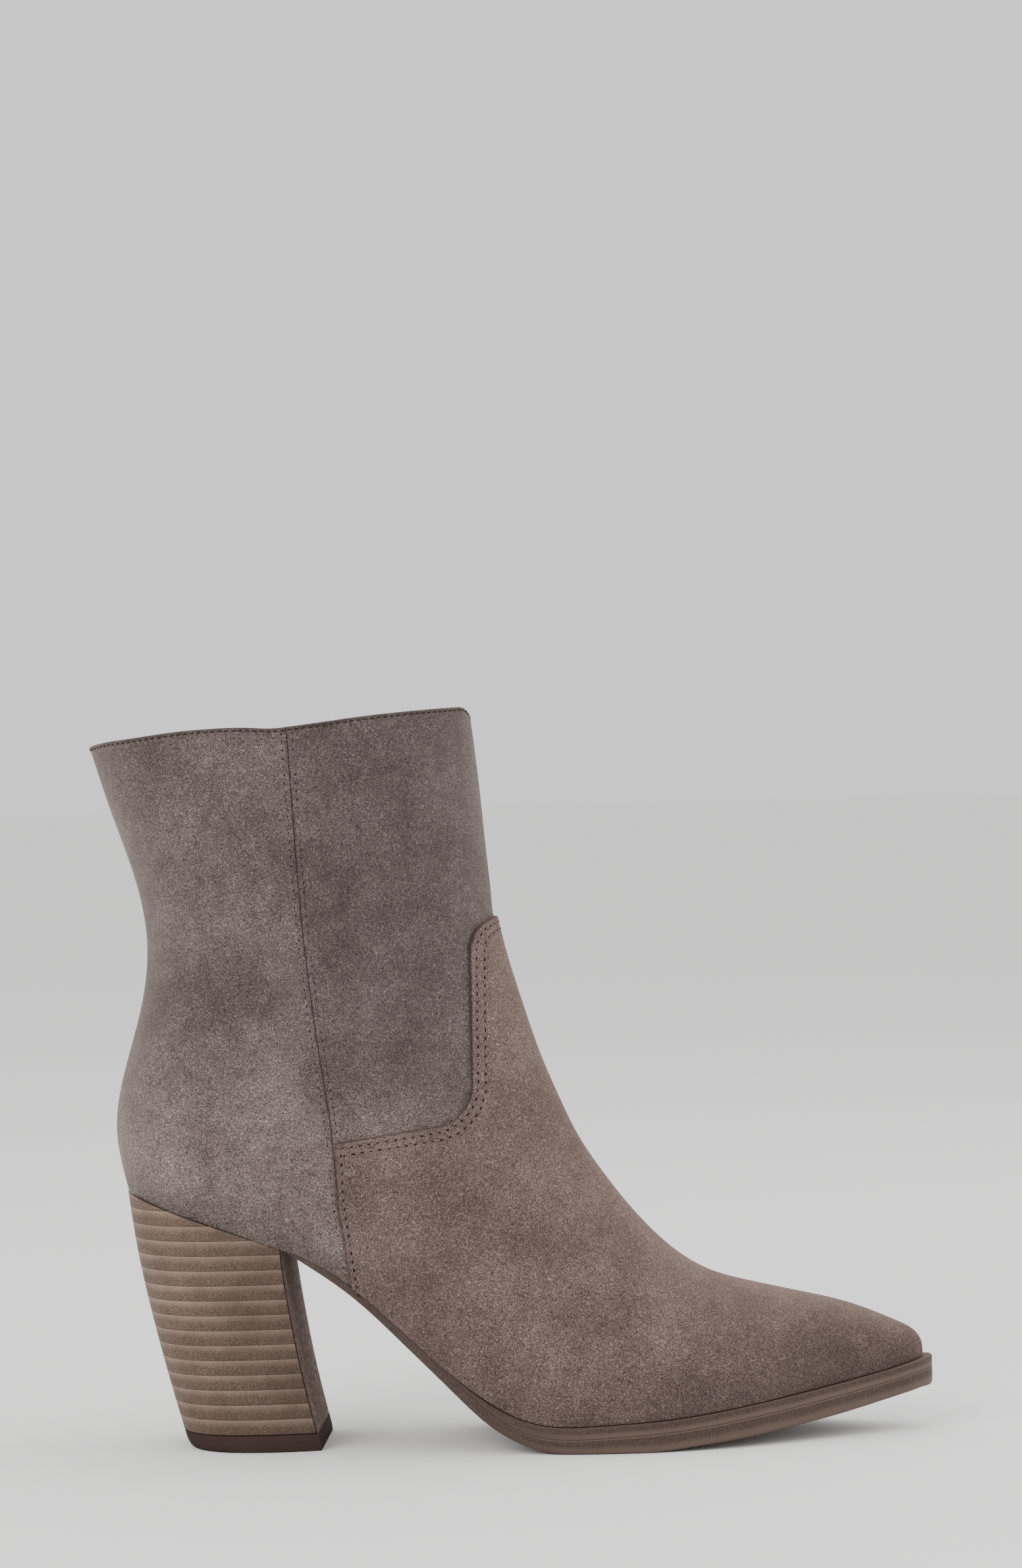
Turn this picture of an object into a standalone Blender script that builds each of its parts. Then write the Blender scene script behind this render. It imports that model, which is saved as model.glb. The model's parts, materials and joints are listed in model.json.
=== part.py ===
"""Western ankle boot, right foot, standing empty on its sole.

The boot points along +X, its outer (lateral) side faces -Y, and the floor is z = 0.
Tables and sizes are in millimetres; MM turns them into Blender's metres.
"""

import math
from collections import namedtuple

import bmesh
import bpy
import numpy as np

MM = 0.001

# Driving sizes of the boot. The section table below is drawn for exactly these sizes,
# and every row is stretched when one of them is changed.
BOOT_LENGTH = 266.4
SHAFT_HEIGHT = 235.3
HEEL_HEIGHT = 83.4
BALL_WIDTH = 74.5
DRAWN_LENGTH, DRAWN_SHAFT, DRAWN_HEEL, DRAWN_BALL = 266.4, 235.3, 83.4, 74.5

# Material thicknesses and clearances.
UPPER_WALL = 2.0
VAMP_THICKNESS = 1.1
GAP = 0.3
MIDSOLE_THICKNESS = 3.7
SEAT_THICKNESS = 0.7
SEAT_INSET = 1.6
INSOLE_THICKNESS = 1.8
INSOLE_INSET = 3.2
INSOLE_BACK_X = -121.0
INSOLE_FRONT_X = 116.0

# Topline of the shaft: two shallow scallops each side and a rounded front corner.
SCALLOP_RISE = 0.6
SCALLOP_DEPTH_DOWN = 25.0
FRONT_CORNER_DROP = 2.4
FRONT_CORNER_SHARE = 0.09

# Mesh density: sections along the boot and columns from the sole edge to the ridge.
SECTION_SPACING = 9.5
HALF_COLUMNS = 14
BEND_WEIGHT = 30.0
TINY = 1e-6
CURVE_SAMPLES = 48
HEEL_CUP_SQUARENESS = 0.55
TAPER_BELOW = 0.2
BEYOND_TOE = 10.0
SHARP_ANGLE = 40.0

# One row for each section of the last, from the collar down the leg, round the heel and
# out to the toe. A section is a plane through its front point (on the instep line) and its
# low point (on the back line, or on the feather line where the upper meets the sole).
# centre is the ridge's offset to the inner side. seat_* are half-widths at the low point,
# wide_* the largest half-widths, wide_at how far up the section that is (where it is lower
# than TAPER_BELOW the sides lean in from the start), and peak how narrow the crown is.
Section = namedtuple(
    "Section",
    "name front_x front_z low_x low_z centre seat_out seat_in wide_out wide_in wide_at peak",
)
SECTIONS = [
    Section("collar", -11.0, 235.3, -133.2, 225.0, 0.0, 0.0, 0.0, 33.0, 33.0, 0.50, 0.00),
    Section("shaft", -9.7, 222.0, -126.8, 202.0, 0.0, 0.0, 0.0, 32.6, 32.6, 0.50, 0.00),
    Section("shaft_low", -8.7, 211.5, -119.6, 180.0, 0.0, 0.0, 0.0, 32.0, 32.0, 0.50, 0.00),
    Section("ankle", -7.8, 201.5, -116.8, 160.0, 0.0, 0.0, 0.0, 31.5, 31.5, 0.50, 0.00),
    Section("ankle_low", -7.0, 192.0, -119.2, 141.0, 0.0, 0.0, 0.0, 31.2, 31.2, 0.49, 0.00),
    Section("counter_top", -6.1, 182.5, -124.8, 121.0, 0.0, 0.0, 0.0, 31.0, 31.0, 0.48, 0.02),
    Section("counter", -5.3, 173.0, -127.8, 102.0, 0.0, 0.0, 0.0, 31.0, 31.0, 0.46, 0.04),
    Section("heel_edge", -3.9, 163.5, -124.6, 83.4, 0.0, 0.0, 0.0, 31.0, 31.0, 0.44, 0.06),
    Section("heel_back", -3.4, 161.2, -123.8, 83.1, 0.0, 6.2, 6.2, 31.0, 31.0, 0.435, 0.07),
    Section("heel_round", -2.1, 156.0, -121.0, 82.2, 0.0, 12.0, 12.0, 31.0, 30.8, 0.42, 0.08),
    Section("heel_side", 0.0, 148.5, -112.0, 79.1, 0.0, 21.0, 21.0, 31.0, 30.5, 0.40, 0.10),
    Section("seat", 3.2, 138.0, -97.0, 73.9, 0.0, 25.6, 25.5, 31.0, 30.2, 0.38, 0.13),
    Section("breast", 8.1, 123.0, -75.0, 66.1, 0.0, 26.9, 26.0, 31.3, 29.8, 0.36, 0.18),
    Section("waist_back", 13.4, 110.0, -55.0, 54.8, 0.0, 27.0, 23.6, 32.0, 29.4, 0.34, 0.24),
    Section("waist", 19.4, 97.0, -36.3, 38.8, 0.0, 28.2, 21.8, 33.3, 29.6, 0.31, 0.30),
    Section("waist_front", 27.7, 84.0, -16.0, 20.9, 0.3, 31.2, 24.0, 35.6, 31.0, 0.28, 0.34),
    Section("ball_back", 37.7, 71.0, 4.0, 9.9, 0.6, 35.4, 29.2, 38.2, 34.0, 0.25, 0.34),
    Section("ball", 50.2, 58.5, 26.0, 8.9, 1.0, 38.1, 34.2, 39.9, 37.0, 0.23, 0.28),
    Section("ball_front", 63.0, 50.7, 48.0, 10.2, 1.3, 37.0, 35.6, 38.7, 37.7, 0.23, 0.18),
    Section("vamp", 77.0, 46.6, 70.0, 12.9, 1.6, 32.2, 32.2, 33.8, 34.0, 0.23, 0.08),
    Section("toe_box", 92.4, 43.1, 90.0, 15.8, 1.8, 23.6, 25.0, 25.2, 26.6, 0.23, 0.02),
    Section("toe", 108.5, 38.9, 104.5, 18.2, 2.0, 17.0, 17.6, 18.2, 18.8, 0.23, 0.00),
    Section("toe_front", 122.5, 33.2, 113.0, 19.8, 2.0, 13.2, 13.4, 14.0, 14.2, 0.15, 0.00),
    Section("toe_round", 129.1, 28.0, 116.6, 20.5, 2.0, 11.5, 11.6, 11.8, 11.9, 0.05, 0.00),
    Section("toe_edge", 129.0, 23.2, 117.8, 20.7, 2.0, 11.0, 11.0, 11.0, 11.0, 0.00, 0.00),
]
HEEL_EDGE_ROW = [row.name for row in SECTIONS].index("heel_edge")

# Side outline of the vamp, an overlay in front of this line: corners with their radii.
Corner = namedtuple("Corner", "x z radius")
VAMP_OUTLINE = [
    Corner(30.0, 170.0, 0.0),
    Corner(-3.0, 168.8, 0.0),
    Corner(-13.2, 164.6, 10.0),
    Corner(-13.0, 104.0, 13.0),
    Corner(-55.2, 98.6, 0.0),
    Corner(-55.6, 78.6, 0.0),
    Corner(-51.4, 50.0, 0.0),
    Corner(-30.0, -20.0, 0.0),
    Corner(150.0, -20.0, 0.0),
    Corner(150.0, 100.0, 0.0),
]
CORNER_STEPS = 6

# Underside of the sole along the boot, and how far its edge stands out past the upper.
SoleStation = namedtuple("SoleStation", "x bottom extension")
SOLE_STATIONS = [
    SoleStation(-72.6, 63.6, 0.0),
    SoleStation(-64.0, 58.2, 0.2),
    SoleStation(-51.0, 48.6, 0.5),
    SoleStation(-36.0, 34.4, 0.8),
    SoleStation(-22.0, 20.6, 1.4),
    SoleStation(-10.0, 9.4, 2.0),
    SoleStation(2.0, 2.6, 2.4),
    SoleStation(14.0, 0.0, 2.6),
    SoleStation(28.0, 0.0, 2.6),
    SoleStation(42.0, 0.0, 2.6),
    SoleStation(54.0, 1.2, 2.6),
    SoleStation(70.0, 3.0, 2.7),
    SoleStation(87.0, 5.4, 2.8),
    SoleStation(104.0, 8.3, 3.0),
    SoleStation(121.0, 12.0, 3.4),
    SoleStation(130.0, 14.2, 4.3),
]
MIDSOLE_BACK_X = -34.0
MIDSOLE_BACK_THICKNESS = 0.6
MIDSOLE_FULL_X = 6.0
SEAT_RAMP = 9.0
SEAT_TAIL_BACK_X = -124.0
FLAT_SPOT = (14.0, 42.0)

# Side profile of the sole edge: share of the layer's height, and inset from the outline.
EdgeRing = namedtuple("EdgeRing", "height inset")
MIDSOLE_EDGE = [EdgeRing(1.0, 0.5), EdgeRing(0.86, 0.1), EdgeRing(0.45, 0.4), EdgeRing(0.0, 0.05)]
OUTSOLE_EDGE = [EdgeRing(1.0, 0.05), EdgeRing(0.6, 0.35), EdgeRing(0.22, 0.1), EdgeRing(0.0, 1.2)]

# Stacked heel: outline at the seat and at the floor, cut into leather lifts.
LIFT_COUNT = 16
TOP_LIFT_THICKNESS = 5.5
BREAST_COVER = 1.2
BREAST_STEPS = 10
HEEL_ROUND_STEPS = 8
HEEL_SIDE_STEPS = 3
TopLiftRing = namedtuple("TopLiftRing", "height side_inset back_inset breast_inset")
TOP_LIFT_EDGE = [
    TopLiftRing(TOP_LIFT_THICKNESS, 0.0, 0.0, 0.0),
    TopLiftRing(3.2, 0.0, 0.0, 0.0),
    TopLiftRing(1.3, 0.3, 1.0, 0.1),
    TopLiftRing(0.0, 0.9, 3.4, 0.3),
]
HeelLevel = namedtuple("HeelLevel", "z back_x breast_x half_width round_length breast_share")
HEEL_LEVELS = [
    HeelLevel(0.0, -106.8, -62.6, 23.4, 25.0, 0.90),
    HeelLevel(20.0, -111.9, -67.4, 24.0, 25.5, 0.92),
    HeelLevel(45.0, -118.1, -72.0, 25.2, 26.0, 0.94),
    HeelLevel(62.0, -121.6, -74.2, 26.3, 26.5, 0.97),
    HeelLevel(85.0, -124.9, -74.4, 27.2, 27.0, 0.99),
]


def natural_spline(knots, values, at):
    """Cubic spline with free ends through rows of values, read at the given places."""
    knots = np.asarray(knots, float)
    values = np.asarray(values, float).reshape(len(knots), -1)
    count = len(knots)
    step = np.diff(knots)
    system = np.eye(count)
    target = np.zeros_like(values)
    for i in range(1, count - 1):
        system[i, i - 1] = step[i - 1]
        system[i, i] = 2 * (step[i - 1] + step[i])
        system[i, i + 1] = step[i]
        rise = (values[i + 1] - values[i]) / step[i] - (values[i] - values[i - 1]) / step[i - 1]
        target[i] = 6 * rise
    bend = np.linalg.solve(system, target)
    at = np.atleast_1d(np.asarray(at, float))
    span = np.clip(np.searchsorted(knots, at, side="right") - 1, 0, count - 2)
    width = step[span][:, None]
    left = (knots[span + 1] - at)[:, None]
    right = (at - knots[span])[:, None]
    curved = (bend[span] * left**3 + bend[span + 1] * right**3) / (6 * width)
    start = (values[span] / width - bend[span] * width / 6) * left
    end = (values[span + 1] / width - bend[span + 1] * width / 6) * right
    return curved + start + end


def scaled_rows():
    """The section table as numbers, stretched to the driving sizes."""
    length = BOOT_LENGTH / DRAWN_LENGTH
    shaft = SHAFT_HEIGHT / DRAWN_SHAFT
    heel = HEEL_HEIGHT / DRAWN_HEEL
    ball = BALL_WIDTH / DRAWN_BALL
    rows = []
    for i, row in enumerate(SECTIONS):
        low_scale = shaft if i < HEEL_EDGE_ROW else heel
        widths = [value * ball for value in row[5:10]]
        rows.append(
            [row.front_x * length, row.front_z * shaft, row.low_x * length, row.low_z * low_scale]
            + widths
            + [row.wide_at, row.peak]
        )
    return np.array(rows)


def row_places(rows):
    """Distance along the boot at each row, the mean of the front and low lines."""
    front = np.linalg.norm(np.diff(rows[:, 0:2], axis=0), axis=1)
    low = np.linalg.norm(np.diff(rows[:, 2:4], axis=0), axis=1)
    return np.concatenate([[0.0], np.cumsum((front + low) / 2)])


def section_places(places):
    """Places of the finished sections: every row, and more between rows that lie far apart."""
    found = [places[:1]]
    for start, end in zip(places, places[1:]):
        steps = max(1, round((end - start) / SECTION_SPACING))
        found.append(np.linspace(start, end, steps + 1)[1:])
    return np.concatenate(found)


def smooth_sections():
    """Sections along the boot: closed ones round the leg, then open ones over the foot.
    Also gives the number of the section at the heel edge, where the two kinds meet."""
    rows = scaled_rows()
    places = row_places(rows)
    at = section_places(places)
    shape = natural_spline(places, rows, at)
    low, seat = slice(2, 4), slice(5, 7)
    leg, foot = slice(0, HEEL_EDGE_ROW + 1), slice(HEEL_EDGE_ROW, None)
    edge = int(np.searchsorted(at, places[HEEL_EDGE_ROW]))
    shape[: edge + 1, low] = natural_spline(places[leg], rows[leg, low], at[: edge + 1])
    shape[edge:, low] = natural_spline(places[foot], rows[foot, low], at[edge:])
    shape[:edge, seat] = 0.0
    shape[edge:, seat] = natural_spline(places[foot], rows[foot, seat], at[edge:])
    return shape, edge


def half_section(height, seat, wide, wide_at, peak, columns):
    """Points (up the section, out from its centre) from the low point to the ridge, evenly spaced.
    Below the widest place it is part of an oval, cut off where the oval is as wide as the seat."""
    square = HEEL_CUP_SQUARENESS
    share = min(1.0, seat / wide) ** 2
    start_sine = (1 + square - math.sqrt((1 + square) ** 2 - 4 * square * share)) / (2 * square)
    start = math.asin(math.sqrt(min(1.0, start_sine)))
    turn = np.linspace(start, math.pi / 2, CURVE_SAMPLES)
    low_up = wide_at * height * (1 - np.cos(turn) / max(math.cos(start), TINY))
    low_out = wide * np.sin(turn) * np.sqrt(1 + square * np.cos(turn) ** 2)
    rise = np.sin(np.linspace(0.0, math.pi / 2, CURVE_SAMPLES))
    taper = max(0.0, 1 - wide_at / TAPER_BELOW)
    top_up = wide_at * height + (1 - wide_at) * height * rise
    top_out = wide * np.sqrt((1 - rise) * (1 + rise * (1 - taper)) * (1 - peak * rise**2))
    up = np.concatenate([low_up, top_up[1:]])
    out = np.concatenate([low_out, top_out[1:]])
    steps = np.stack([np.diff(up), np.diff(out)])
    lengths = np.hypot(*steps)
    heading = np.unwrap(np.arctan2(steps[1], steps[0])[lengths > TINY])
    bend = np.zeros(len(lengths))
    bend[lengths > TINY] = np.abs(np.diff(heading, prepend=heading[0]))
    run = np.concatenate([[0.0], np.cumsum(lengths + BEND_WEIGHT * bend)])
    even = np.linspace(0.0, run[-1], columns + 1)
    return np.interp(even, run, up), np.interp(even, run, out)


def topline_shift(share, depth):
    """Height change near the collar: scallops along each side and a rounded front corner."""
    fade = max(0.0, 1 - depth / SCALLOP_DEPTH_DOWN) ** 2
    scallop = SCALLOP_RISE * (1 - np.cos(4 * math.pi * share))
    corner = FRONT_CORNER_DROP * np.exp(-(((1 - share) / FRONT_CORNER_SHARE) ** 2))
    return fade * (scallop - corner)


Lofted = namedtuple("Lofted", "points heel_edge")


def upper_grid(columns=HALF_COLUMNS):
    """Rows of points on the upper's outer face, each from the outer side to the inner side,
    and the number of the row at the heel edge."""
    shape, heel_edge = smooth_sections()
    collar_front = shape[0, 1]
    grid = []
    for row in shape:
        front, low = row[0:2], row[2:4]
        centre, seat_out, seat_in, wide_out, wide_in, wide_at, peak = row[4:]
        height = np.linalg.norm(front - low)
        along = (front - low) / height
        shift = topline_shift(np.linspace(0.0, 1.0, columns + 1), collar_front - front[1])
        halves = []
        for sign, seat, wide in ((-1, seat_out, wide_out), (1, seat_in, wide_in)):
            up, out = half_section(height, seat, wide, wide_at, peak, columns)
            x = low[0] + along[0] * up
            z = low[1] + along[1] * up + shift
            halves.append(np.stack([x, centre + sign * out, z], axis=1))
        grid.append(np.concatenate([halves[0], halves[1][-2::-1]]))
    return Lofted(np.array(grid), heel_edge)


def feather_line(grid):
    """The upper's lower edge from the heel's back to the toe tip, on the outer and inner side."""
    foot = grid.points[grid.heel_edge :]
    toe = foot[-1]
    middle = len(toe) // 2
    outer = np.concatenate([foot[:, 0], toe[1 : middle + 1]])
    inner = np.concatenate([foot[:, -1], toe[-2 : middle - 1 : -1]])
    return outer, inner


def with_stations(lines, places):
    """Edge lines with further points put in at the given places along the boot."""
    fuller = []
    for line in lines:
        x = np.sort(np.concatenate([line[:, 0], places]))
        fuller.append(np.stack([np.interp(x, line[:, 0], line[:, i]) for i in range(3)], axis=1))
    return fuller


def offset_in_plan(points, amounts):
    """Moves an edge line outwards in plan, by an amount for each point."""
    flow = np.gradient(points[:, :2], axis=0)
    side = np.where(points[len(points) // 2, 1] < 0, 1.0, -1.0)
    normal = np.stack([flow[:, 1], -flow[:, 0]], axis=1) * side
    normal[0] = (-1.0, 0.0)
    normal[-1] = (1.0, 0.0)
    normal /= np.linalg.norm(normal, axis=1)[:, None]
    moved = points.copy()
    moved[:, :2] += normal * np.asarray(amounts)[:, None]
    return moved


def feather_height(grid):
    """A function that gives the feather line's height at any place along the boot."""
    line = feather_line(grid)[0]
    slope = (line[-1, 2] - line[-HALF_COLUMNS, 2]) / (line[-1, 0] - line[-HALF_COLUMNS, 0])
    x = np.append(line[:, 0], line[-1, 0] + BEYOND_TOE)
    z = np.append(line[:, 2], line[-1, 2] + BEYOND_TOE * slope)
    return lambda at: np.interp(at, x, z)


def new_object(name, mesh, collection, material):
    obj = bpy.data.objects.new(name, mesh)
    collection.objects.link(obj)
    if material:
        mesh.materials.append(material)
    return obj


def feather_edges(grid, values):
    """The parts of a grid's values that belong to its lower edge: both sides and the toe."""
    foot = values[grid.heel_edge + 1 :]
    return foot[:, 0], foot[:, -1], foot[-1]


def outward_normals(grid):
    """Unit normals of the upper's outer face at its grid points, level along the lower edge."""
    points = grid.points
    along = np.gradient(points, axis=0)
    across = np.gradient(points, axis=1)
    leg = slice(0, grid.heel_edge + 1)
    across[leg, 0] = across[leg, -1] = (points[leg, 1] - points[leg, -2]) / 2
    normal = np.cross(across, along)
    normal[leg, 0, 1] = normal[leg, -1, 1] = 0.0
    for edge in feather_edges(grid, normal):
        edge[:, 2] = 0.0
    normal /= np.linalg.norm(normal, axis=2)[:, :, None]
    ridge = normal[0, points.shape[1] // 2]
    return normal if ridge[0] > 0 else -normal


def moved_face(grid, distance):
    """The upper's outer face moved along its normals, its lower edge kept on the feather line."""
    face = grid.points + outward_normals(grid) * distance
    feather = feather_height(grid)
    foot = face[grid.heel_edge + 1 :]
    foot[:, :, 2] = np.maximum(foot[:, :, 2], feather(foot[:, :, 0]))
    for edge in feather_edges(grid, face):
        edge[:, 2] = feather(edge[:, 0])
    return face


def wall_mesh(name, outer, inner, heel_edge):
    """A wall between two faces of the same grid, closed along its free edges. Rows down to
    the heel edge run right round the leg and are welded at the back."""
    bm = bmesh.new()
    faces = []
    for face in (outer, inner):
        faces.append([[bm.verts.new(point * MM) for point in row] for row in face])
    rows, columns = outer.shape[0], outer.shape[1]
    ridge = columns // 2
    for verts in faces:
        for i in range(rows - 1):
            for j in range(columns - 1):
                a, b, c, d = *verts[i][j : j + 2], *verts[i + 1][j : j + 2]
                outer_half = ((a, b, d), (a, d, c))
                inner_half = ((a, b, c), (b, d, c))
                for corners in outer_half if j < ridge else inner_half:
                    bm.faces.new(corners)
    top = [(0, j) for j in range(columns)]
    toe = [(rows - 1, j) for j in range(columns)]
    sides = [[(i, j) for i in range(heel_edge, rows)] for j in (0, columns - 1)]
    for edge in (top, toe, *sides):
        for (i, j), (k, m) in zip(edge, edge[1:]):
            bm.faces.new((faces[0][i][j], faces[0][k][m], faces[1][k][m], faces[1][i][j]))
    bmesh.ops.remove_doubles(bm, verts=bm.verts, dist=0.01 * MM)
    bmesh.ops.recalc_face_normals(bm, faces=bm.faces)
    mesh = bpy.data.meshes.new(name)
    bm.to_mesh(mesh)
    bm.free()
    smooth_edges(mesh)
    return mesh


def slab_mesh(name, rings):
    """A solid through rings stacked from top to bottom. Each ring is an outer and an inner
    edge line with the same number of points, and the ends are laddered across."""
    bm = bmesh.new()
    loops = []
    for outer, inner in rings:
        left = [bm.verts.new(point * MM) for point in outer]
        right = [bm.verts.new(point * MM) for point in inner]
        loops.append((left, right))
    for (left_a, right_a), (left_b, right_b) in zip(loops, loops[1:]):
        loop_a = left_a + right_a[::-1]
        loop_b = left_b + right_b[::-1]
        for j in range(len(loop_a)):
            k = (j + 1) % len(loop_a)
            bm.faces.new((loop_a[j], loop_a[k], loop_b[k], loop_b[j]))
    for left, right in (loops[0], loops[-1]):
        for j in range(len(left) - 1):
            bm.faces.new((left[j], left[j + 1], right[j + 1], right[j]))
    bmesh.ops.remove_doubles(bm, verts=bm.verts, dist=0.01 * MM)
    bmesh.ops.dissolve_degenerate(bm, dist=0.01 * MM, edges=bm.edges)
    bmesh.ops.recalc_face_normals(bm, faces=bm.faces)
    mesh = bpy.data.meshes.new(name)
    bm.to_mesh(mesh)
    bm.free()
    return mesh


def smooth_edges(mesh):
    mesh.shade_smooth()
    mesh.set_sharp_from_angle(angle=math.radians(SHARP_ANGLE))


def plain_material(name, colour, roughness):
    material = bpy.data.materials.new(name)
    material.use_nodes = True
    shader = material.node_tree.nodes["Principled BSDF"]
    shader.inputs["Base Color"].default_value = (*colour, 1.0)
    shader.inputs["Roughness"].default_value = roughness
    shader.inputs["Metallic"].default_value = 0.0
    return material


def rounded_outline(corners):
    """Side-view points of an outline, with an arc at each corner that has a radius."""
    points = []
    count = len(corners)
    for i, corner in enumerate(corners):
        here = np.array([corner.x, corner.z])
        if corner.radius == 0:
            points.append(here)
            continue
        before = np.array([corners[i - 1].x, corners[i - 1].z]) - here
        after = np.array([corners[(i + 1) % count].x, corners[(i + 1) % count].z]) - here
        before /= np.linalg.norm(before)
        after /= np.linalg.norm(after)
        half = math.acos(float(np.clip(before @ after, -1, 1))) / 2
        reach = corner.radius / math.tan(half)
        middle = (before + after) / np.linalg.norm(before + after)
        centre = here + middle * corner.radius / math.sin(half)
        start = here + before * reach - centre
        end = here + after * reach - centre
        for k in range(CORNER_STEPS + 1):
            share = k / CORNER_STEPS
            spoke = start * (1 - share) + end * share
            points.append(centre + spoke * corner.radius / np.linalg.norm(spoke))
    return points


def prism_cutter(name, outline, half_depth, collection):
    """A side-view outline drawn as a filled curve, made as thick as the boot is wide."""
    curve = bpy.data.curves.new(name, "CURVE")
    curve.dimensions = "2D"
    curve.fill_mode = "BOTH"
    curve.extrude = half_depth * MM
    spline = curve.splines.new("POLY")
    spline.points.add(len(outline) - 1)
    for point, (x, z) in zip(spline.points, outline):
        point.co = (x * MM, z * MM, 0.0, 1.0)
    spline.use_cyclic_u = True
    drawn = bpy.data.objects.new(name, curve)
    drawn.rotation_euler = (math.pi / 2, 0.0, 0.0)
    collection.objects.link(drawn)
    bpy.context.view_layer.update()
    ready = drawn.evaluated_get(bpy.context.evaluated_depsgraph_get())
    mesh = bpy.data.meshes.new_from_object(ready)
    mesh.transform(drawn.matrix_world)
    bpy.data.objects.remove(drawn)
    bm = bmesh.new()
    bm.from_mesh(mesh)
    bmesh.ops.remove_doubles(bm, verts=bm.verts, dist=0.01 * MM)
    bmesh.ops.recalc_face_normals(bm, faces=bm.faces)
    bm.to_mesh(mesh)
    bm.free()
    cutter = new_object(name, mesh, collection, None)
    cutter.hide_render = True
    cutter.display_type = "WIRE"
    return cutter


def make_upper(grid, collection, material):
    """The hollow upper: one lofted wall, open at the collar and underneath."""
    outer = moved_face(grid, 0.0)
    inner = moved_face(grid, -UPPER_WALL)
    mesh = wall_mesh("upper", outer, inner, grid.heel_edge)
    return new_object("upper", mesh, collection, material)


def make_vamp(grid, collection, cutters, material):
    """The vamp overlay: a skin just outside the upper, trimmed to the vamp's side outline."""
    ridge_height = grid.points[:, HALF_COLUMNS, 2]
    first = np.count_nonzero(ridge_height > VAMP_OUTLINE[0].z + SECTION_SPACING)
    outer = moved_face(grid, GAP + VAMP_THICKNESS)[first:]
    inner = moved_face(grid, GAP)[first:]
    mesh = wall_mesh("vamp", outer, inner, grid.heel_edge - first)
    vamp = new_object("vamp", mesh, collection, material)
    trim = vamp.modifiers.new("trim", "BOOLEAN")
    trim.operation = "INTERSECT"
    trim.solver = "EXACT"
    trim.object = prism_cutter("vamp_trim", rounded_outline(VAMP_OUTLINE), BALL_WIDTH, cutters)
    return vamp


def sole_curve(x):
    """Underside height and edge extension of the sole at places along the boot."""
    places = [station.x for station in SOLE_STATIONS]
    drawn = [(station.bottom, station.extension) for station in SOLE_STATIONS]
    read = natural_spline(places, drawn, np.clip(x, places[0], places[-1]))
    read[:, 0] = np.maximum(read[:, 0], 0.0)
    flat = (x >= FLAT_SPOT[0]) & (x <= FLAT_SPOT[1])
    read[flat, 0] = 0.0
    return read


def sole_outward(x):
    """How far the sole's edge stands out from the upper; on the heel seat it is set in."""
    onto_seat = np.clip((SOLE_STATIONS[0].x + SEAT_RAMP - x) / SEAT_RAMP, 0.0, 1.0)
    return sole_curve(x)[:, 1] * (1 - onto_seat) - SEAT_INSET * onto_seat


def sole_edges(grid):
    """The feather line with the places put in where a sole layer starts, steps or lies flat."""
    breast_x = SOLE_STATIONS[0].x
    step_x = MIDSOLE_BACK_X - GAP
    step = [step_x - 2 * MIDSOLE_BACK_THICKNESS, step_x, MIDSOLE_BACK_X]
    return with_stations(feather_line(grid), [breast_x, breast_x + SEAT_RAMP, *step, *FLAT_SPOT])


def midsole_share(x):
    """How thick the midsole is along the boot: nothing at the waist, full at the ball."""
    share = np.clip((x - MIDSOLE_BACK_X) / (MIDSOLE_FULL_X - MIDSOLE_BACK_X), 0.0, 1.0)
    eased = share * share * (3 - 2 * share)
    return MIDSOLE_BACK_THICKNESS + (MIDSOLE_THICKNESS - MIDSOLE_BACK_THICKNESS) * eased


def edge_rings(grid, back_x, layer, profile):
    """Rings of a sole layer in front of back_x, following its side profile from top to bottom.
    layer(station, x, feather) gives the layer's top and bottom heights at points of an edge."""
    edges = sole_edges(grid)
    height = feather_height(grid)
    keep = edges[0][:, 0] >= back_x
    rings = []
    for step in profile:
        lines = []
        for line in edges:
            station = line[:, 0]
            ring = offset_in_plan(line, sole_outward(station) - step.inset)
            top, bottom = layer(station, ring[:, 0], height(ring[:, 0]))
            ring[:, 2] = bottom + (top - bottom) * step.height
            lines.append(ring[keep])
        rings.append(lines)
    return rings


def make_midsole(grid, collection, material):
    """The upper layer of the sole edge, from the waist to the toe."""

    def layer(station, x, feather):
        return feather - GAP, feather - GAP - midsole_share(x)

    mesh = slab_mesh("midsole", edge_rings(grid, MIDSOLE_BACK_X, layer, MIDSOLE_EDGE))
    smooth_edges(mesh)
    return new_object("midsole", mesh, collection, material)


def make_outsole(grid, collection, material):
    """The full-length outsole: thin tail on the heel seat, thin waist, thick forepart."""

    def layer(station, x, feather):
        above = np.where(station >= MIDSOLE_BACK_X - GAP, midsole_share(x) + GAP, 0.0)
        on_seat = station <= SOLE_STATIONS[0].x
        tail_bottom = feather - GAP - SEAT_THICKNESS
        return feather - GAP - above, np.where(on_seat, tail_bottom, sole_curve(x)[:, 0])

    mesh = slab_mesh("outsole", edge_rings(grid, SEAT_TAIL_BACK_X, layer, OUTSOLE_EDGE))
    smooth_edges(mesh)
    return new_object("outsole", mesh, collection, material)


def make_insole(grid, collection, material):
    """The sock on the inside, lying on the sole within the upper's wall."""
    outer, inner = feather_line(grid)
    inset = np.full(len(outer), -INSOLE_INSET)
    edges = [offset_in_plan(line, inset) for line in (outer, inner)]
    keep = (edges[0][:, 0] > INSOLE_BACK_X) & (edges[0][:, 0] < INSOLE_FRONT_X)
    rings = []
    for height in (GAP + INSOLE_THICKNESS, GAP):
        lift = np.array([0.0, 0.0, height])
        rings.append([edge[keep] + lift for edge in edges])
    return new_object("insole", slab_mesh("insole", rings), collection, material)


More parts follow.
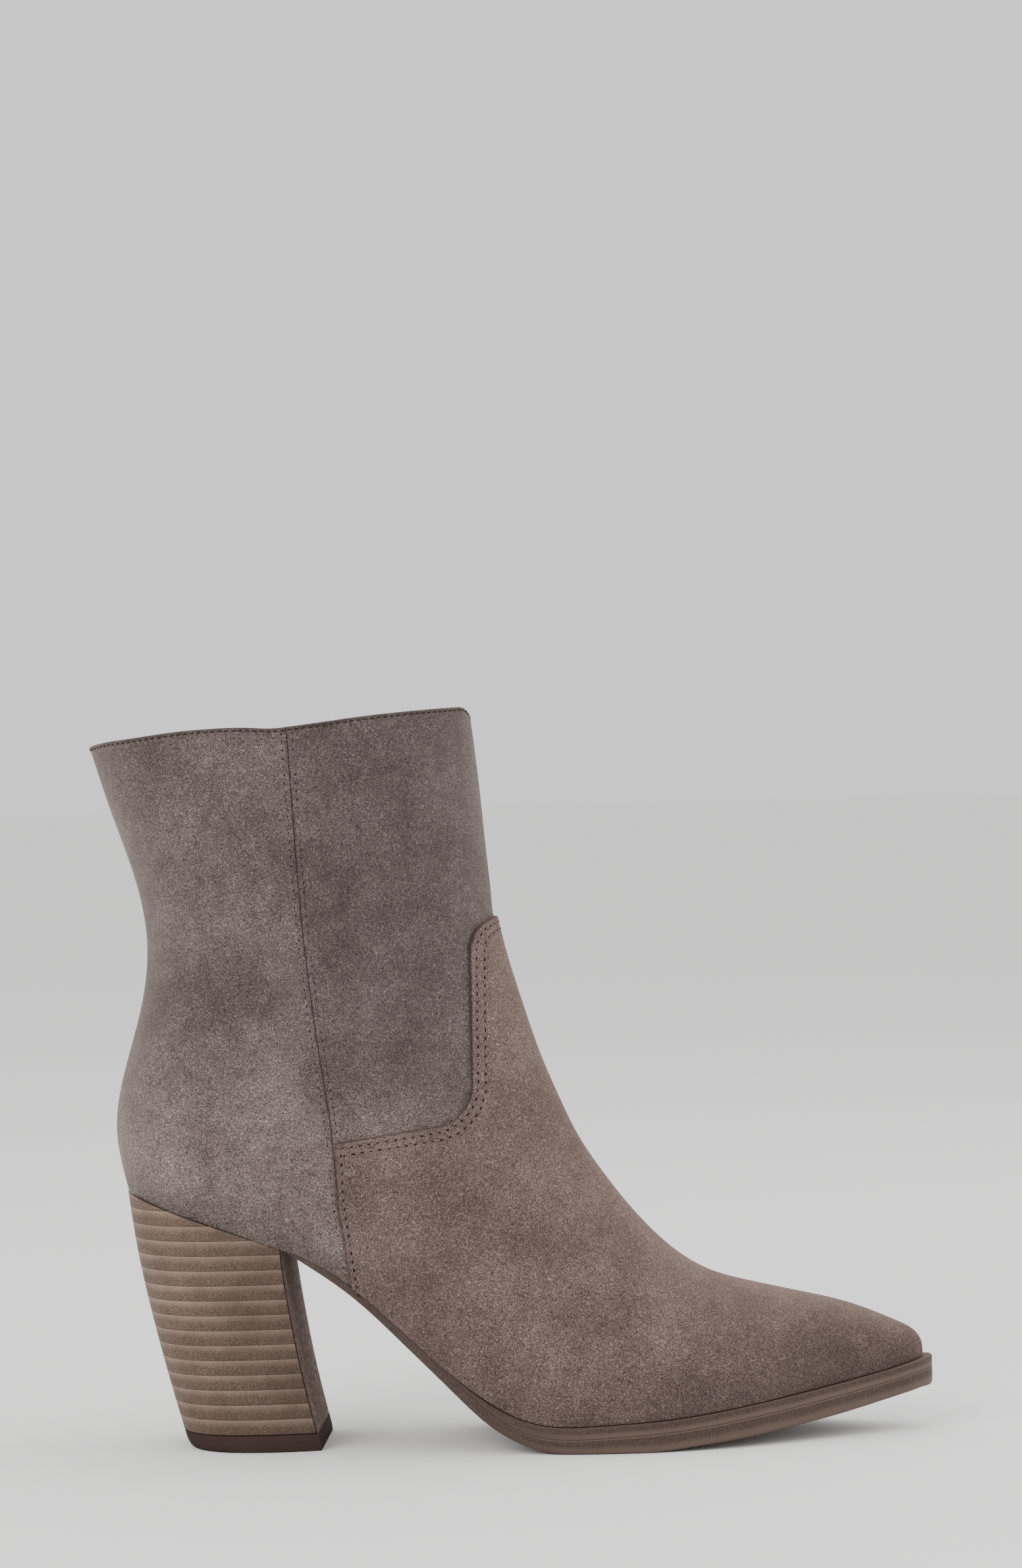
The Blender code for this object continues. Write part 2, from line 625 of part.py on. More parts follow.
def heel_level(z):
    """Size of the heel's outline at a height."""
    drawn = [level[1:] for level in HEEL_LEVELS]
    return HeelLevel(z, *natural_spline([level.z for level in HEEL_LEVELS], drawn, z)[0])


def heel_outline(z, inset=0.0, back_inset=0.0, breast_inset=0.0):
    """Outer and inner edge lines of the heel at a height, from its back to its breast."""
    level = heel_level(z)
    back = level.back_x + back_inset
    turn = np.linspace(0.0, math.pi / 2, HEEL_ROUND_STEPS + 1)
    x = back + level.round_length * (1 - np.cos(turn))
    y = (level.half_width - inset) * np.sin(turn)
    side = np.linspace(0.0, 1.0, HEEL_SIDE_STEPS + 1)[1:]
    breast = level.breast_x - breast_inset
    x = np.concatenate([x, x[-1] + (breast - x[-1]) * side])
    narrowing = 1 - (1 - level.breast_share) * side**2
    y = np.concatenate([y, (level.half_width - inset) * narrowing])
    height = np.full(len(x), z)
    return np.stack([x, -y, height], axis=1), np.stack([x, y, height], axis=1)


def seat_plane(grid):
    """Point and upward normal of the heel seat, just under the sole's tail."""
    height = feather_height(grid)
    back_x, front_x = SEAT_TAIL_BACK_X, SOLE_STATIONS[0].x
    back_z, front_z = height(back_x), height(front_x)
    drop = 2 * GAP + SEAT_THICKNESS
    normal = np.array([back_z - front_z, 0.0, front_x - back_x])
    return np.array([back_x, 0.0, back_z - drop]), normal / np.linalg.norm(normal)


def cut_above(mesh, point, normal):
    """Slices a solid along a plane and keeps what is below it."""
    bm = bmesh.new()
    bm.from_mesh(mesh)
    parts = bm.verts[:] + bm.edges[:] + bm.faces[:]
    cut = bmesh.ops.bisect_plane(
        bm, geom=parts, plane_co=point * MM, plane_no=normal, clear_outer=True, dist=0.001 * MM
    )
    rim = [item for item in cut["geom_cut"] if isinstance(item, bmesh.types.BMEdge)]
    if rim:
        bmesh.ops.contextual_create(bm, geom=rim)
    bmesh.ops.remove_doubles(bm, verts=bm.verts, dist=0.01 * MM)
    bmesh.ops.recalc_face_normals(bm, faces=bm.faces)
    bm.to_mesh(mesh)
    bm.free()


def make_heel_lifts(grid, collection, material):
    """The stacked leather lifts, the upper ones pared to the slope of the heel seat."""
    point, normal = seat_plane(grid)
    low = TOP_LIFT_THICKNESS + GAP
    pitch = (point[2] - low) / LIFT_COUNT
    for number in range(LIFT_COUNT):
        bottom = low + number * pitch
        top = bottom + pitch - GAP
        rings = [heel_outline(z, breast_inset=BREAST_COVER + GAP) for z in (top, bottom)]
        name = f"heel_lift_{number + 1:02d}"
        mesh = slab_mesh(name, rings)
        cut_above(mesh, point, normal)
        smooth_edges(mesh)
        new_object(name, mesh, collection, material)


def make_heel_breast(grid, collection, material):
    """The thin cover on the heel's front face, from the seat down to the top lift."""
    point, normal = seat_plane(grid)
    low = TOP_LIFT_THICKNESS + GAP
    heights = np.linspace(low, point[2], BREAST_STEPS)
    rings = []
    for inset in (0.0, BREAST_COVER):
        outer, inner = [], []
        for z in heights:
            left, right = heel_outline(z, breast_inset=inset)
            outer.append(left[-1])
            inner.append(right[-1])
        rings.append((np.array(outer), np.array(inner)))
    mesh = slab_mesh("heel_breast", rings)
    cut_above(mesh, point, normal)
    smooth_edges(mesh)
    return new_object("heel_breast", mesh, collection, material)


def make_top_lift(collection, material):
    """The rubber top lift that meets the floor, its back corner rounded."""
    rings = [heel_outline(*ring) for ring in TOP_LIFT_EDGE]
    mesh = slab_mesh("heel_top_lift", rings)
    smooth_edges(mesh)
    return new_object("heel_top_lift", mesh, collection, material)


def main():
    for obj in list(bpy.data.objects):
        bpy.data.objects.remove(obj)
    boot = bpy.data.collections.new("western_ankle_boot")
    cutters = bpy.data.collections.new("cutters")
    for collection in (boot, cutters):
        bpy.context.scene.collection.children.link(collection)

    taupe = plain_material("taupe_suede", (0.155, 0.122, 0.108), 0.95)
    warm_taupe = plain_material("vamp_suede", (0.175, 0.136, 0.120), 0.95)
    edge_brown = plain_material("sole_edge", (0.105, 0.075, 0.058), 0.55)
    stack_brown = plain_material("stacked_leather", (0.165, 0.118, 0.088), 0.7)
    breast_brown = plain_material("heel_breast", (0.070, 0.055, 0.048), 0.6)
    rubber_brown = plain_material("top_lift_rubber", (0.045, 0.032, 0.030), 0.5)
    sock = plain_material("insole_sock", (0.42, 0.34, 0.26), 0.7)

    grid = upper_grid()
    make_upper(grid, boot, taupe)
    make_vamp(grid, boot, cutters, warm_taupe)
    make_midsole(grid, boot, edge_brown)
    make_outsole(grid, boot, edge_brown)
    make_insole(grid, boot, sock)
    make_heel_lifts(grid, boot, stack_brown)
    make_heel_breast(grid, boot, breast_brown)
    make_top_lift(boot, rubber_brown)


main()
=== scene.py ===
"""Western ankle boot, right foot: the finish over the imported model.

A taupe suede shaft and quarters, a raised suede vamp sewn on with two rows, a banded sole edge
and a stacked leather heel. The boot points along +X and its outer side faces -Y. Lengths are in
millimetres until MM turns them into Blender's metres.
"""

import bpy
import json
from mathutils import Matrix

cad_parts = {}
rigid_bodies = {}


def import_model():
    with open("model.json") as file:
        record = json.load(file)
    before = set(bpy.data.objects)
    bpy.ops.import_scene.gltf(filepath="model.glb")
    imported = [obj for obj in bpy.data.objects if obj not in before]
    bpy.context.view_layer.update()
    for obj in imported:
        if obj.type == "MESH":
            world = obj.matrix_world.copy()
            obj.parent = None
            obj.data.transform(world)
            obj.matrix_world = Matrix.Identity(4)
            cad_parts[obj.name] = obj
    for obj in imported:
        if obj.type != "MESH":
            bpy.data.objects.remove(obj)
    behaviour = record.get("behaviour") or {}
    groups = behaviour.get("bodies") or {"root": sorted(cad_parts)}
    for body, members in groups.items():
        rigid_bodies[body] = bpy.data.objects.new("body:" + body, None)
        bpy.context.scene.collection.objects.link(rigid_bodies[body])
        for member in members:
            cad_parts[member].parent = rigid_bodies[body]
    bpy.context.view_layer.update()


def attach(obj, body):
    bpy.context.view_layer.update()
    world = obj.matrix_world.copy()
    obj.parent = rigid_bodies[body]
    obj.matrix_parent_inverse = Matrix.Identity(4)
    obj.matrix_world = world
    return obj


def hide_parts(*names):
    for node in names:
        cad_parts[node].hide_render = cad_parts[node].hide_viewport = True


for leftover in list(bpy.data.objects):
    bpy.data.objects.remove(leftover)
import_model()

import json
import math
from collections import namedtuple

import bmesh
import numpy as np
from mathutils import Matrix, Vector

MM = 0.001
OUTER, INNER = -1, 1

# Thicknesses and clearances of the real pieces, and where the suede laps over the heel seat.
SUEDE = 1.2
LINING = 0.75
TOUCH = 0.05
GAP = 0.3
VAMP_FACE = 1.4
MIDSOLE_THICKNESS = 3.7
SEAT_THICKNESS = 0.7
SEAT_GAP = 0.2
SEAT_LAP_FROM, SEAT_LAP_FULL = -63.0, -72.0
SEAT_INSET = 1.6
INSOLE_INSET = 3.2
INSOLE_BACK_X = -121.0
INSOLE_FRONT_X = 116.0

# Topline of the shaft: a rise along each panel with a dip at the side seam, given by how far
# along it lies from the back to the front, a rounded front corner, and a folded edge that swells
# in full over a share of its width.
TOPLINE = [
    (0.0, 0.1), (0.05, 0.75), (0.12, 1.05), (0.20, 1.42), (0.27, 1.6), (0.34, 1.32), (0.40, 0.88),
    (0.45, 0.1), (0.49, -0.6), (0.53, -0.62), (0.60, -0.33), (0.70, 0.22), (0.80, 0.5), (0.90, 0.5),
    (1.0, 0.4),
]
TOPLINE_DEPTH_DOWN = 25.0
FRONT_CORNER_LENGTH, FRONT_CORNER_DROP = 3.3, 5.2
FRONT_CORNER_ARC = 0.95
FOLD_WIDTH = 0.95
FOLD_SWELL = 0.22
FOLD_FULL = 0.6
RIM_STEPS = 5

# Mesh density of the visible leather, and tolerances.
ROW_SPACING = 1.7
LEG_ROWS_FROM = 6.6
HALF_COLUMNS = 72
PROFILE_SAMPLES = 110
CHUNK = 4000
TINY = 1e-6
WELD = 0.004
CUT_TOLERANCE = 0.001
SHARP_ANGLE = 50.0

# The last, as in the part's source but a little fuller at the collar's back corner and rounder at
# the toe: one row for each section from the collar down the leg, round the heel and out to the
# toe. A section is a plane through its front point on the instep line and its low point on the
# back or feather line. seat_* are half-widths at the low point, wide_* the largest half-widths,
# wide_at how far up that is, and peak how narrow the crown is.
HEEL_CUP_SQUARENESS = 0.55
TAPER_BELOW = 0.2
BEYOND_TOE = 10.0
Section = namedtuple(
    "Section",
    "name front_x front_z low_x low_z centre seat_out seat_in wide_out wide_in wide_at peak",
)
SECTIONS = [
    Section("collar", -11.0, 235.3, -134.1, 225.2, 0.0, 0.0, 0.0, 33.0, 33.0, 0.50, 0.00),
    Section("shaft", -9.7, 222.0, -126.8, 202.0, 0.0, 0.0, 0.0, 32.6, 32.6, 0.50, 0.00),
    Section("shaft_low", -8.7, 211.5, -119.6, 180.0, 0.0, 0.0, 0.0, 32.0, 32.0, 0.50, 0.00),
    Section("ankle", -7.8, 201.5, -116.8, 160.0, 0.0, 0.0, 0.0, 31.5, 31.5, 0.50, 0.00),
    Section("ankle_low", -7.0, 192.0, -119.2, 141.0, 0.0, 0.0, 0.0, 31.2, 31.2, 0.49, 0.00),
    Section("counter_top", -6.1, 182.5, -124.8, 121.0, 0.0, 0.0, 0.0, 31.0, 31.0, 0.48, 0.02),
    Section("counter", -5.3, 173.0, -127.8, 102.0, 0.0, 0.0, 0.0, 31.0, 31.0, 0.46, 0.04),
    Section("heel_edge", -3.9, 163.5, -124.6, 83.4, 0.0, 0.0, 0.0, 31.0, 31.0, 0.44, 0.06),
    Section("heel_back", -3.4, 161.2, -123.8, 83.1, 0.0, 6.2, 6.2, 31.0, 31.0, 0.435, 0.07),
    Section("heel_round", -2.1, 156.0, -121.0, 82.2, 0.0, 12.0, 12.0, 31.0, 30.8, 0.42, 0.08),
    Section("heel_side", 0.0, 148.5, -112.0, 79.1, 0.0, 21.0, 21.0, 31.0, 30.5, 0.40, 0.10),
    Section("seat", 3.2, 138.0, -97.0, 73.9, 0.0, 25.6, 25.5, 31.0, 30.2, 0.38, 0.13),
    Section("breast", 8.1, 123.0, -75.0, 66.1, 0.0, 26.9, 26.0, 31.3, 29.8, 0.36, 0.18),
    Section("waist_back", 13.4, 110.0, -55.0, 54.8, 0.0, 27.0, 23.6, 32.0, 29.4, 0.34, 0.24),
    Section("waist", 19.4, 97.0, -36.3, 38.8, 0.0, 28.2, 21.8, 33.3, 29.6, 0.31, 0.30),
    Section("waist_front", 27.7, 84.0, -16.0, 20.9, 0.3, 31.2, 24.0, 35.6, 31.0, 0.28, 0.34),
    Section("ball_back", 37.7, 71.0, 4.0, 9.9, 0.6, 35.4, 29.2, 38.2, 34.0, 0.25, 0.34),
    Section("ball", 50.2, 58.5, 26.0, 8.9, 1.0, 38.1, 34.2, 39.9, 37.0, 0.23, 0.28),
    Section("ball_front", 63.0, 50.7, 48.0, 10.2, 1.3, 37.0, 35.6, 38.7, 37.7, 0.23, 0.18),
    Section("vamp", 77.0, 46.6, 70.0, 12.9, 1.6, 32.2, 32.2, 33.8, 34.0, 0.23, 0.08),
    Section("toe_box", 92.4, 43.1, 90.0, 15.8, 1.8, 23.6, 25.0, 25.2, 26.6, 0.23, 0.02),
    Section("toe", 108.5, 38.9, 104.5, 18.2, 2.0, 17.0, 17.6, 18.2, 18.8, 0.23, 0.00),
    Section("toe_front", 122.5, 33.2, 113.0, 19.8, 2.0, 13.2, 13.4, 14.0, 14.2, 0.15, 0.00),
    Section("toe_round", 129.2, 27.8, 116.6, 20.5, 2.0, 11.5, 11.6, 11.8, 11.9, 0.05, 0.00),
    Section("toe_edge", 129.6, 23.2, 117.8, 20.7, 2.0, 11.0, 11.0, 11.0, 11.0, 0.00, 0.00),
]
HEEL_EDGE_ROW = [row.name for row in SECTIONS].index("heel_edge")

# Side outline of the vamp, an overlay in front of this line: corners with their radii.
Corner = namedtuple("Corner", "x z radius")
VAMP_OUTLINE = [
    Corner(30.0, 170.0, 0.0),
    Corner(-3.0, 168.8, 0.0),
    Corner(-13.2, 164.6, 10.0),
    Corner(-13.0, 104.0, 13.0),
    Corner(-56.4, 98.6, 0.0),
    Corner(-55.6, 78.6, 0.0),
    Corner(-51.4, 50.0, 0.0),
    Corner(-30.0, -20.0, 0.0),
    Corner(150.0, -20.0, 0.0),
    Corner(150.0, 100.0, 0.0),
]
CORNER_STEPS = 24

# The vamp's cut edge: distances in from it at which the mesh has a row, and one that stands for all
# rows further in. The edge is rounded up from a least share of the thickness, and pressed in along
# two sewn rows, of which the second ends above a lowest height.
EDGE_LEVELS = (0.0, 0.06, 0.16, 0.32, 0.55, 0.85, 1.2, 1.55, 1.9, 2.25, 2.7, 3.2, 3.8, 4.3, 4.8, 5.6)
WELL_INSIDE = 6.6
EDGE_ROUND = 0.9
EDGE_LEAST = 0.3
FIRST_ROW, SECOND_ROW = 1.9, 4.3
SECOND_ROW_LOWEST = 94.7
SECOND_ROW_FADE = 3.0
SECOND_ROW_RUN_ON = 2.4
SEWN_DIMPLE, DIMPLE_WIDTH = 0.16, 0.45

# It wanders by two crossing waves, given in radians for each millimetre along and up.
EDGE_WANDER = 0.11
EDGE_WAVES = ((0.7, 1.1), (-0.8, 0.45))

# Rows of the vamp's mesh past its edge, closer together at the toe, and the steps in which the edge
# is looked for, from this far above the heel's edge.
VAMP_ROWS = 110
CLOSER_AT_TOE = 1.5
VAMP_SEARCH_BACK, VAMP_SEARCH_STEPS = 45.0, 800

# How far the suede's lower edge is drawn down to the sole at the waist, and where that ends.
WAIST_LAP = 0.26
WAIST_LAP_FULL, WAIST_LAP_END = -26.0, -6.0

# Side seam from the collar to the feather line, the same on both sides: height, place along.
SEAM = [
    (50.0, -51.6), (53.2, -51.9), (78.6, -55.4), (98.6, -56.9), (122.6, -60.1),
    (147.6, -63.2), (174.6, -65.7), (201.7, -67.2), (229.9, -68.8), (240.0, -69.4),
]

# Rows of needle holes beside the seam, the front one ending above the vamp, and the steps in which
# they are looked for.
SEAM_ROW_OFFSET = 1.7
SEAM_FRONT_LOWEST = 101.0
SEAM_FROM, SEAM_STEP, SEAM_SAMPLES = 2.0, 1.2, 240

# Underside of the sole along the boot, and how far its edge stands out past the upper.
SoleStation = namedtuple("SoleStation", "x bottom extension")
SOLE_STATIONS = [
    SoleStation(-72.6, 63.6, 0.0),
    SoleStation(-64.0, 58.2, 0.2),
    SoleStation(-51.0, 48.6, 0.5),
    SoleStation(-36.0, 34.4, 0.8),
    SoleStation(-22.0, 20.6, 1.4),
    SoleStation(-10.0, 9.4, 2.0),
    SoleStation(2.0, 2.6, 2.4),
    SoleStation(14.0, 0.0, 2.6),
    SoleStation(28.0, 0.0, 2.6),
    SoleStation(42.0, 0.0, 2.6),
    SoleStation(54.0, 1.2, 2.6),
    SoleStation(70.0, 3.0, 2.7),
    SoleStation(87.0, 5.4, 2.8),
    SoleStation(104.0, 8.3, 3.0),
    SoleStation(121.0, 12.0, 3.4),
    SoleStation(130.0, 14.0, 4.45),
]

# The midsole starts thin at the waist, where the layers' edges are also broken less. The sole's
# tail on the heel seat is set in over a ramp, and the sole lies flat under the ball.
MIDSOLE_BACK_X = -34.0
MIDSOLE_BACK_THICKNESS = 0.25
MIDSOLE_FULL_X = 6.0
WAIST_BREAK = 0.25
SEAT_RAMP = 9.0
SEAT_TAIL_BACK_X = -124.0
FLAT_SPOT = (14.0, 42.0)
UNDERSIDE_SHARE = 0.01

# Side profiles of the sole's layers: share of the layer's height, and inset from the outline. The
# insole's heights are millimetres above the feather line.
EdgeRing = namedtuple("EdgeRing", "height inset")
MIDSOLE_EDGE = [
    EdgeRing(1.0, 0.75), EdgeRing(0.975, 0.42), EdgeRing(0.92, 0.18), EdgeRing(0.84, 0.04),
    EdgeRing(0.60, 0.0), EdgeRing(0.30, 0.0), EdgeRing(0.08, 0.03), EdgeRing(0.02, 0.09),
    EdgeRing(0.0, 0.2),
]
OUTSOLE_EDGE = [
    EdgeRing(1.0, 0.2), EdgeRing(0.98, 0.08), EdgeRing(0.92, 0.02), EdgeRing(0.70, 0.0),
    EdgeRing(0.40, 0.0), EdgeRing(0.22, 0.06), EdgeRing(0.11, 0.2), EdgeRing(0.04, 0.48),
    EdgeRing(0.0, 0.95),
]
INSOLE_EDGE = [EdgeRing(2.1, 1.0), EdgeRing(2.0, 0.5), EdgeRing(1.7, 0.15), EdgeRing(0.3, 0.0)]

# Stacked heel: leather lifts with fine seams and broken edges.
LIFT_COUNT = 16
LIFT_SEAM = 0.04
LIFT_CHAMFER = 0.07
LIFT_SHARES = (1.0, 0.97, 0.03, 0.0)

# Cover of the heel's breast: rings from its face to its back, of which those below a share are the
# stained edge. Its inner corner is skewed forward.
BREAST_COVER = 0.4
BREAST_SKEW = 1.7
BREAST_STEPS = 60
BREAST_FACE_SHARE = 0.9
BreastRing = namedtuple("BreastRing", "breast_inset side_inset share")
BREAST_EDGE = [
    BreastRing(0.0, 0.1, 1.0),
    BreastRing(0.04, 0.03, 0.8),
    BreastRing(0.1, 0.0, 0.5),
    BreastRing(BREAST_COVER, 0.0, 0.0),
]

# Rubber top lift, its edge rounded towards the floor.
TOP_LIFT_THICKNESS = 5.5
TopLiftRing = namedtuple("TopLiftRing", "height side_inset back_inset breast_inset")
TOP_LIFT_EDGE = [
    TopLiftRing(5.5, 0.15, 0.15, 0.0),
    TopLiftRing(5.35, 0.0, 0.0, 0.0),
    TopLiftRing(3.2, 0.0, 0.0, 0.0),
    TopLiftRing(2.2, 0.04, 0.1, 0.02),
    TopLiftRing(1.3, 0.14, 0.32, 0.08),
    TopLiftRing(0.6, 0.3, 0.7, 0.16),
    TopLiftRing(0.15, 0.5, 1.15, 0.24),
    TopLiftRing(0.0, 0.75, 1.5, 0.35),
]

# Outline of the heel at heights above the floor: a round back, squarer lower down, and straight
# sides that narrow to the breast by a share of the width.
HEEL_ROUND_STEPS = 44
HEEL_SIDE_STEPS = 16
HeelLevel = namedtuple("HeelLevel", "z back_x breast_x half_width round_length breast_share square")
HEEL_LEVELS = [
    HeelLevel(0.0, -106.3, -62.6, 23.4, 25.0, 0.90, 2.4),
    HeelLevel(20.0, -111.9, -67.4, 24.0, 25.5, 0.92, 2.35),
    HeelLevel(45.0, -118.1, -72.0, 25.2, 26.0, 0.94, 2.25),
    HeelLevel(62.0, -121.6, -74.2, 26.3, 26.5, 0.97, 2.15),
    HeelLevel(85.0, -124.9, -74.4, 27.2, 27.0, 0.99, 2.05),
]

# Sewing: stitches and needle holes of each kind of row. Thread is the thread's radius, and some
# stitches and holes are smaller, down to a least share of the size.
VAMP_STITCH = {"Pitch": 2.8, "Length": 1.6, "Thread": 0.3, "Rise": 0.16, "Sink": -0.3}
TOPLINE_STITCH = {"Pitch": 2.2, "Length": 1.25, "Thread": 0.23, "Rise": 0.3, "Sink": -0.2}
VAMP_HOLE = {"Pitch": 2.8, "Length": 0.72, "Width": 0.24, "Depth": 0.12}
SEAM_HOLE = {"Pitch": 2.6, "Length": 0.48, "Width": 0.2, "Depth": 0.1}
LEAST_STITCH, LEAST_HOLE = 0.97, 0.7
BOW_STEPS, THREAD_SIDES = 4, 6
HOLE_SEGMENTS, HOLE_RINGS = 8, 5
ROW_SEED = 0

# The topline's stitches lie a little off the leather and stop short of the rounded front corner.
TOPLINE_LIFT = 0.05
FRONT_COLUMNS_FREE = 3

# The photograph's view: from the outer side, level, with its frame in pixels.
PHOTO_SIZE = (1552, 2380)
PIXELS_PER_MM = 4.7
CAMERA_DISTANCE = 1300.0
CAMERA_X, CAMERA_Z = 1.7, 210.6
CAMERA_ROLL = -1.2
SENSOR = 36.0
NEAREST_SEEN = 50.0

# The studio: a paper floor and soft light, in metres and watts.
WORLD_LIGHT = 1.05
FLOOR_HALF = 40.0
SoftBox = namedtuple("SoftBox", "name place aim size power")
SOFT_BOXES = [
    SoftBox("key_box", (-1.0, -1.3, 1.0), (-0.03, 0.0, 0.12), 1.1, 19.0),
    SoftBox("fill_box", (1.5, 0.1, 0.7), (0.03, 0.0, 0.1), 1.0, 13.0),
    SoftBox("top_box", (0.1, 0.3, 1.6), (0.0, 0.0, 0.1), 1.2, 4.0),
]


# The last's surface

def natural_spline(knots, values, at):
    """Cubic spline with free ends through rows of values, read at the given places."""
    knots = np.asarray(knots, float)
    values = np.asarray(values, float).reshape(len(knots), -1)
    count = len(knots)
    step = np.diff(knots)
    system = np.eye(count)
    target = np.zeros_like(values)
    for i in range(1, count - 1):
        system[i, i - 1] = step[i - 1]
        system[i, i] = 2 * (step[i - 1] + step[i])
        system[i, i + 1] = step[i]
        rise = (values[i + 1] - values[i]) / step[i] - (values[i] - values[i - 1]) / step[i - 1]
        target[i] = 6 * rise
    bend = np.linalg.solve(system, target)
    at = np.atleast_1d(np.asarray(at, float))
    span = np.clip(np.searchsorted(knots, at, side="right") - 1, 0, count - 2)
    width = step[span][:, None]
    left = (knots[span + 1] - at)[:, None]
    right = (at - knots[span])[:, None]
    curved = (bend[span] * left**3 + bend[span + 1] * right**3) / (6 * width)
    start = (values[span] / width - bend[span] * width / 6) * left
    end = (values[span + 1] / width - bend[span + 1] * width / 6) * right
    return curved + start + end


def smooth_step(low, high, value):
    share = np.clip((value - low) / (high - low), 0.0, 1.0)
    return share * share * (3 - 2 * share)


ROWS = np.array([row[1:] for row in SECTIONS])
FRONT_RUN = np.linalg.norm(np.diff(ROWS[:, 0:2], axis=0), axis=1)
LOW_RUN = np.linalg.norm(np.diff(ROWS[:, 2:4], axis=0), axis=1)
PLACES = np.concatenate([[0.0], np.cumsum((FRONT_RUN + LOW_RUN) / 2)])
HEEL_EDGE, TOE_EDGE = PLACES[HEEL_EDGE_ROW], PLACES[-1]


def sections_at(place):
    """Section values at places along the boot: closed ones round the leg, open ones on the foot."""
    shape = natural_spline(PLACES, ROWS, place)
    low, seat = slice(2, 4), slice(5, 7)
    leg, foot = slice(0, HEEL_EDGE_ROW + 1), slice(HEEL_EDGE_ROW, None)
    on_foot = (place >= HEEL_EDGE)[:, None]
    foot_low = natural_spline(PLACES[foot], ROWS[foot, low], place)
    leg_low = natural_spline(PLACES[leg], ROWS[leg, low], place)
    foot_seat = natural_spline(PLACES[foot], ROWS[foot, seat], place)
    shape[:, low] = np.where(on_foot, foot_low, leg_low)
    shape[:, seat] = np.where(on_foot, np.maximum(foot_seat, 0.0), 0.0)
    return shape


def side_profile(height, seat, wide, wide_at, peak):
    """Curves (up the section, out from its centre) from the low point to the ridge. Below the
    widest place each is part of an oval, cut off where the oval is as wide as the seat."""
    square = HEEL_CUP_SQUARENESS
    share = np.minimum(1.0, seat / wide) ** 2
    start_sine = (1 + square - np.sqrt((1 + square) ** 2 - 4 * square * share)) / (2 * square)
    start = np.arcsin(np.sqrt(np.clip(start_sine, 0.0, 1.0)))
    turn = start + (math.pi / 2 - start) * np.linspace(0.0, 1.0, PROFILE_SAMPLES)
    low_up = wide_at * height * (1 - np.cos(turn) / np.maximum(np.cos(start), TINY))
    low_out = wide * np.sin(turn) * np.sqrt(1 + square * np.cos(turn) ** 2)
    rise = np.sin(np.linspace(0.0, math.pi / 2, PROFILE_SAMPLES))[1:]
    taper = np.maximum(0.0, 1 - wide_at / TAPER_BELOW)
    top_up = wide_at * height + (1 - wide_at) * height * rise
    crown = np.maximum(0.0, (1 - rise) * (1 + rise * (1 - taper)) * (1 - peak * rise**2))
    up = np.concatenate([low_up, top_up], axis=1)
    out = np.concatenate([low_out, wide * np.sqrt(crown)], axis=1)
    return up, out


def topline_shift(up, height, depth):
    """Height change near the collar: the topline's rise and dip, and its rounded front corner."""
    fade = np.maximum(0.0, 1 - depth / TOPLINE_DEPTH_DOWN) ** 2
    along, rise = zip(*TOPLINE)
    rise = natural_spline(along, rise, up / height)[:, 0]
    into_corner = FRONT_CORNER_ARC * np.clip(1 - (height - up) / FRONT_CORNER_LENGTH, 0.0, 1.0)
    return fade * (rise - FRONT_CORNER_DROP * (1 - np.sqrt(1 - into_corner**2)))


def surface(place, share, side):
    """Points of the upper's outer face at places along the boot and shares of the way from the
    low point to the ridge, on the outer or the inner side."""
    place, share = np.broadcast_arrays(np.asarray(place, float), np.asarray(share, float))
    shape, place, share = place.shape, place.ravel(), share.ravel()
    found = []
    for first in range(0, len(place), CHUNK):
        at = share[first : first + CHUNK]
        section = sections_at(place[first : first + CHUNK])
        front, low, centre = section[:, 0:2], section[:, 2:4], section[:, 4]
        seat, wide = (section[:, 5], section[:, 7]) if side == OUTER else (section[:, 6], section[:, 8])
        height = np.linalg.norm(front - low, axis=1)
        sizes = [value[:, None] for value in (height, seat, wide, section[:, 9], section[:, 10])]
        up, out = side_profile(*sizes)
        step = np.hypot(np.diff(up), np.diff(out))
        run = np.concatenate([np.zeros((len(at), 1)), np.cumsum(step, axis=1)], axis=1)
        wanted = (at * run[:, -1])[:, None]
        after = np.clip((run < wanted).sum(axis=1), 1, run.shape[1] - 1)[:, None]
        run_a, run_b = (np.take_along_axis(run, after - k, axis=1)[:, 0] for k in (1, 0))
        mix = (wanted[:, 0] - run_a) / np.maximum(run_b - run_a, TINY)
        up, out = (
            np.take_along_axis(curve, after - 1, axis=1)[:, 0] * (1 - mix)
            + np.take_along_axis(curve, after, axis=1)[:, 0] * mix
            for curve in (up, out)
        )
        along = (front - low) / height[:, None]
        shift = topline_shift(up, height, SECTIONS[0].front_z - front[:, 1])
        x = low[:, 0] + along[:, 0] * up
        z = low[:, 1] + along[:, 1] * up + shift
        found.append(np.stack([x, centre + side * out, z], axis=1))
    return np.concatenate(found).reshape(*shape, 3)


def both_sides(outer_place, inner_place):
    """A grid from the outer side's low edge over the ridge to the inner side's low edge."""
    outer = surface(outer_place, COLUMN_SHARES, OUTER)
    inner = surface(inner_place, COLUMN_SHARES, INNER)
    return np.concatenate([outer, inner[:, -2::-1]], axis=1)


def run_down(points):
    """Length along each column of a grid from its first row."""
    return np.cumsum(np.linalg.norm(np.diff(points, axis=0, prepend=points[:1]), axis=2), axis=0)


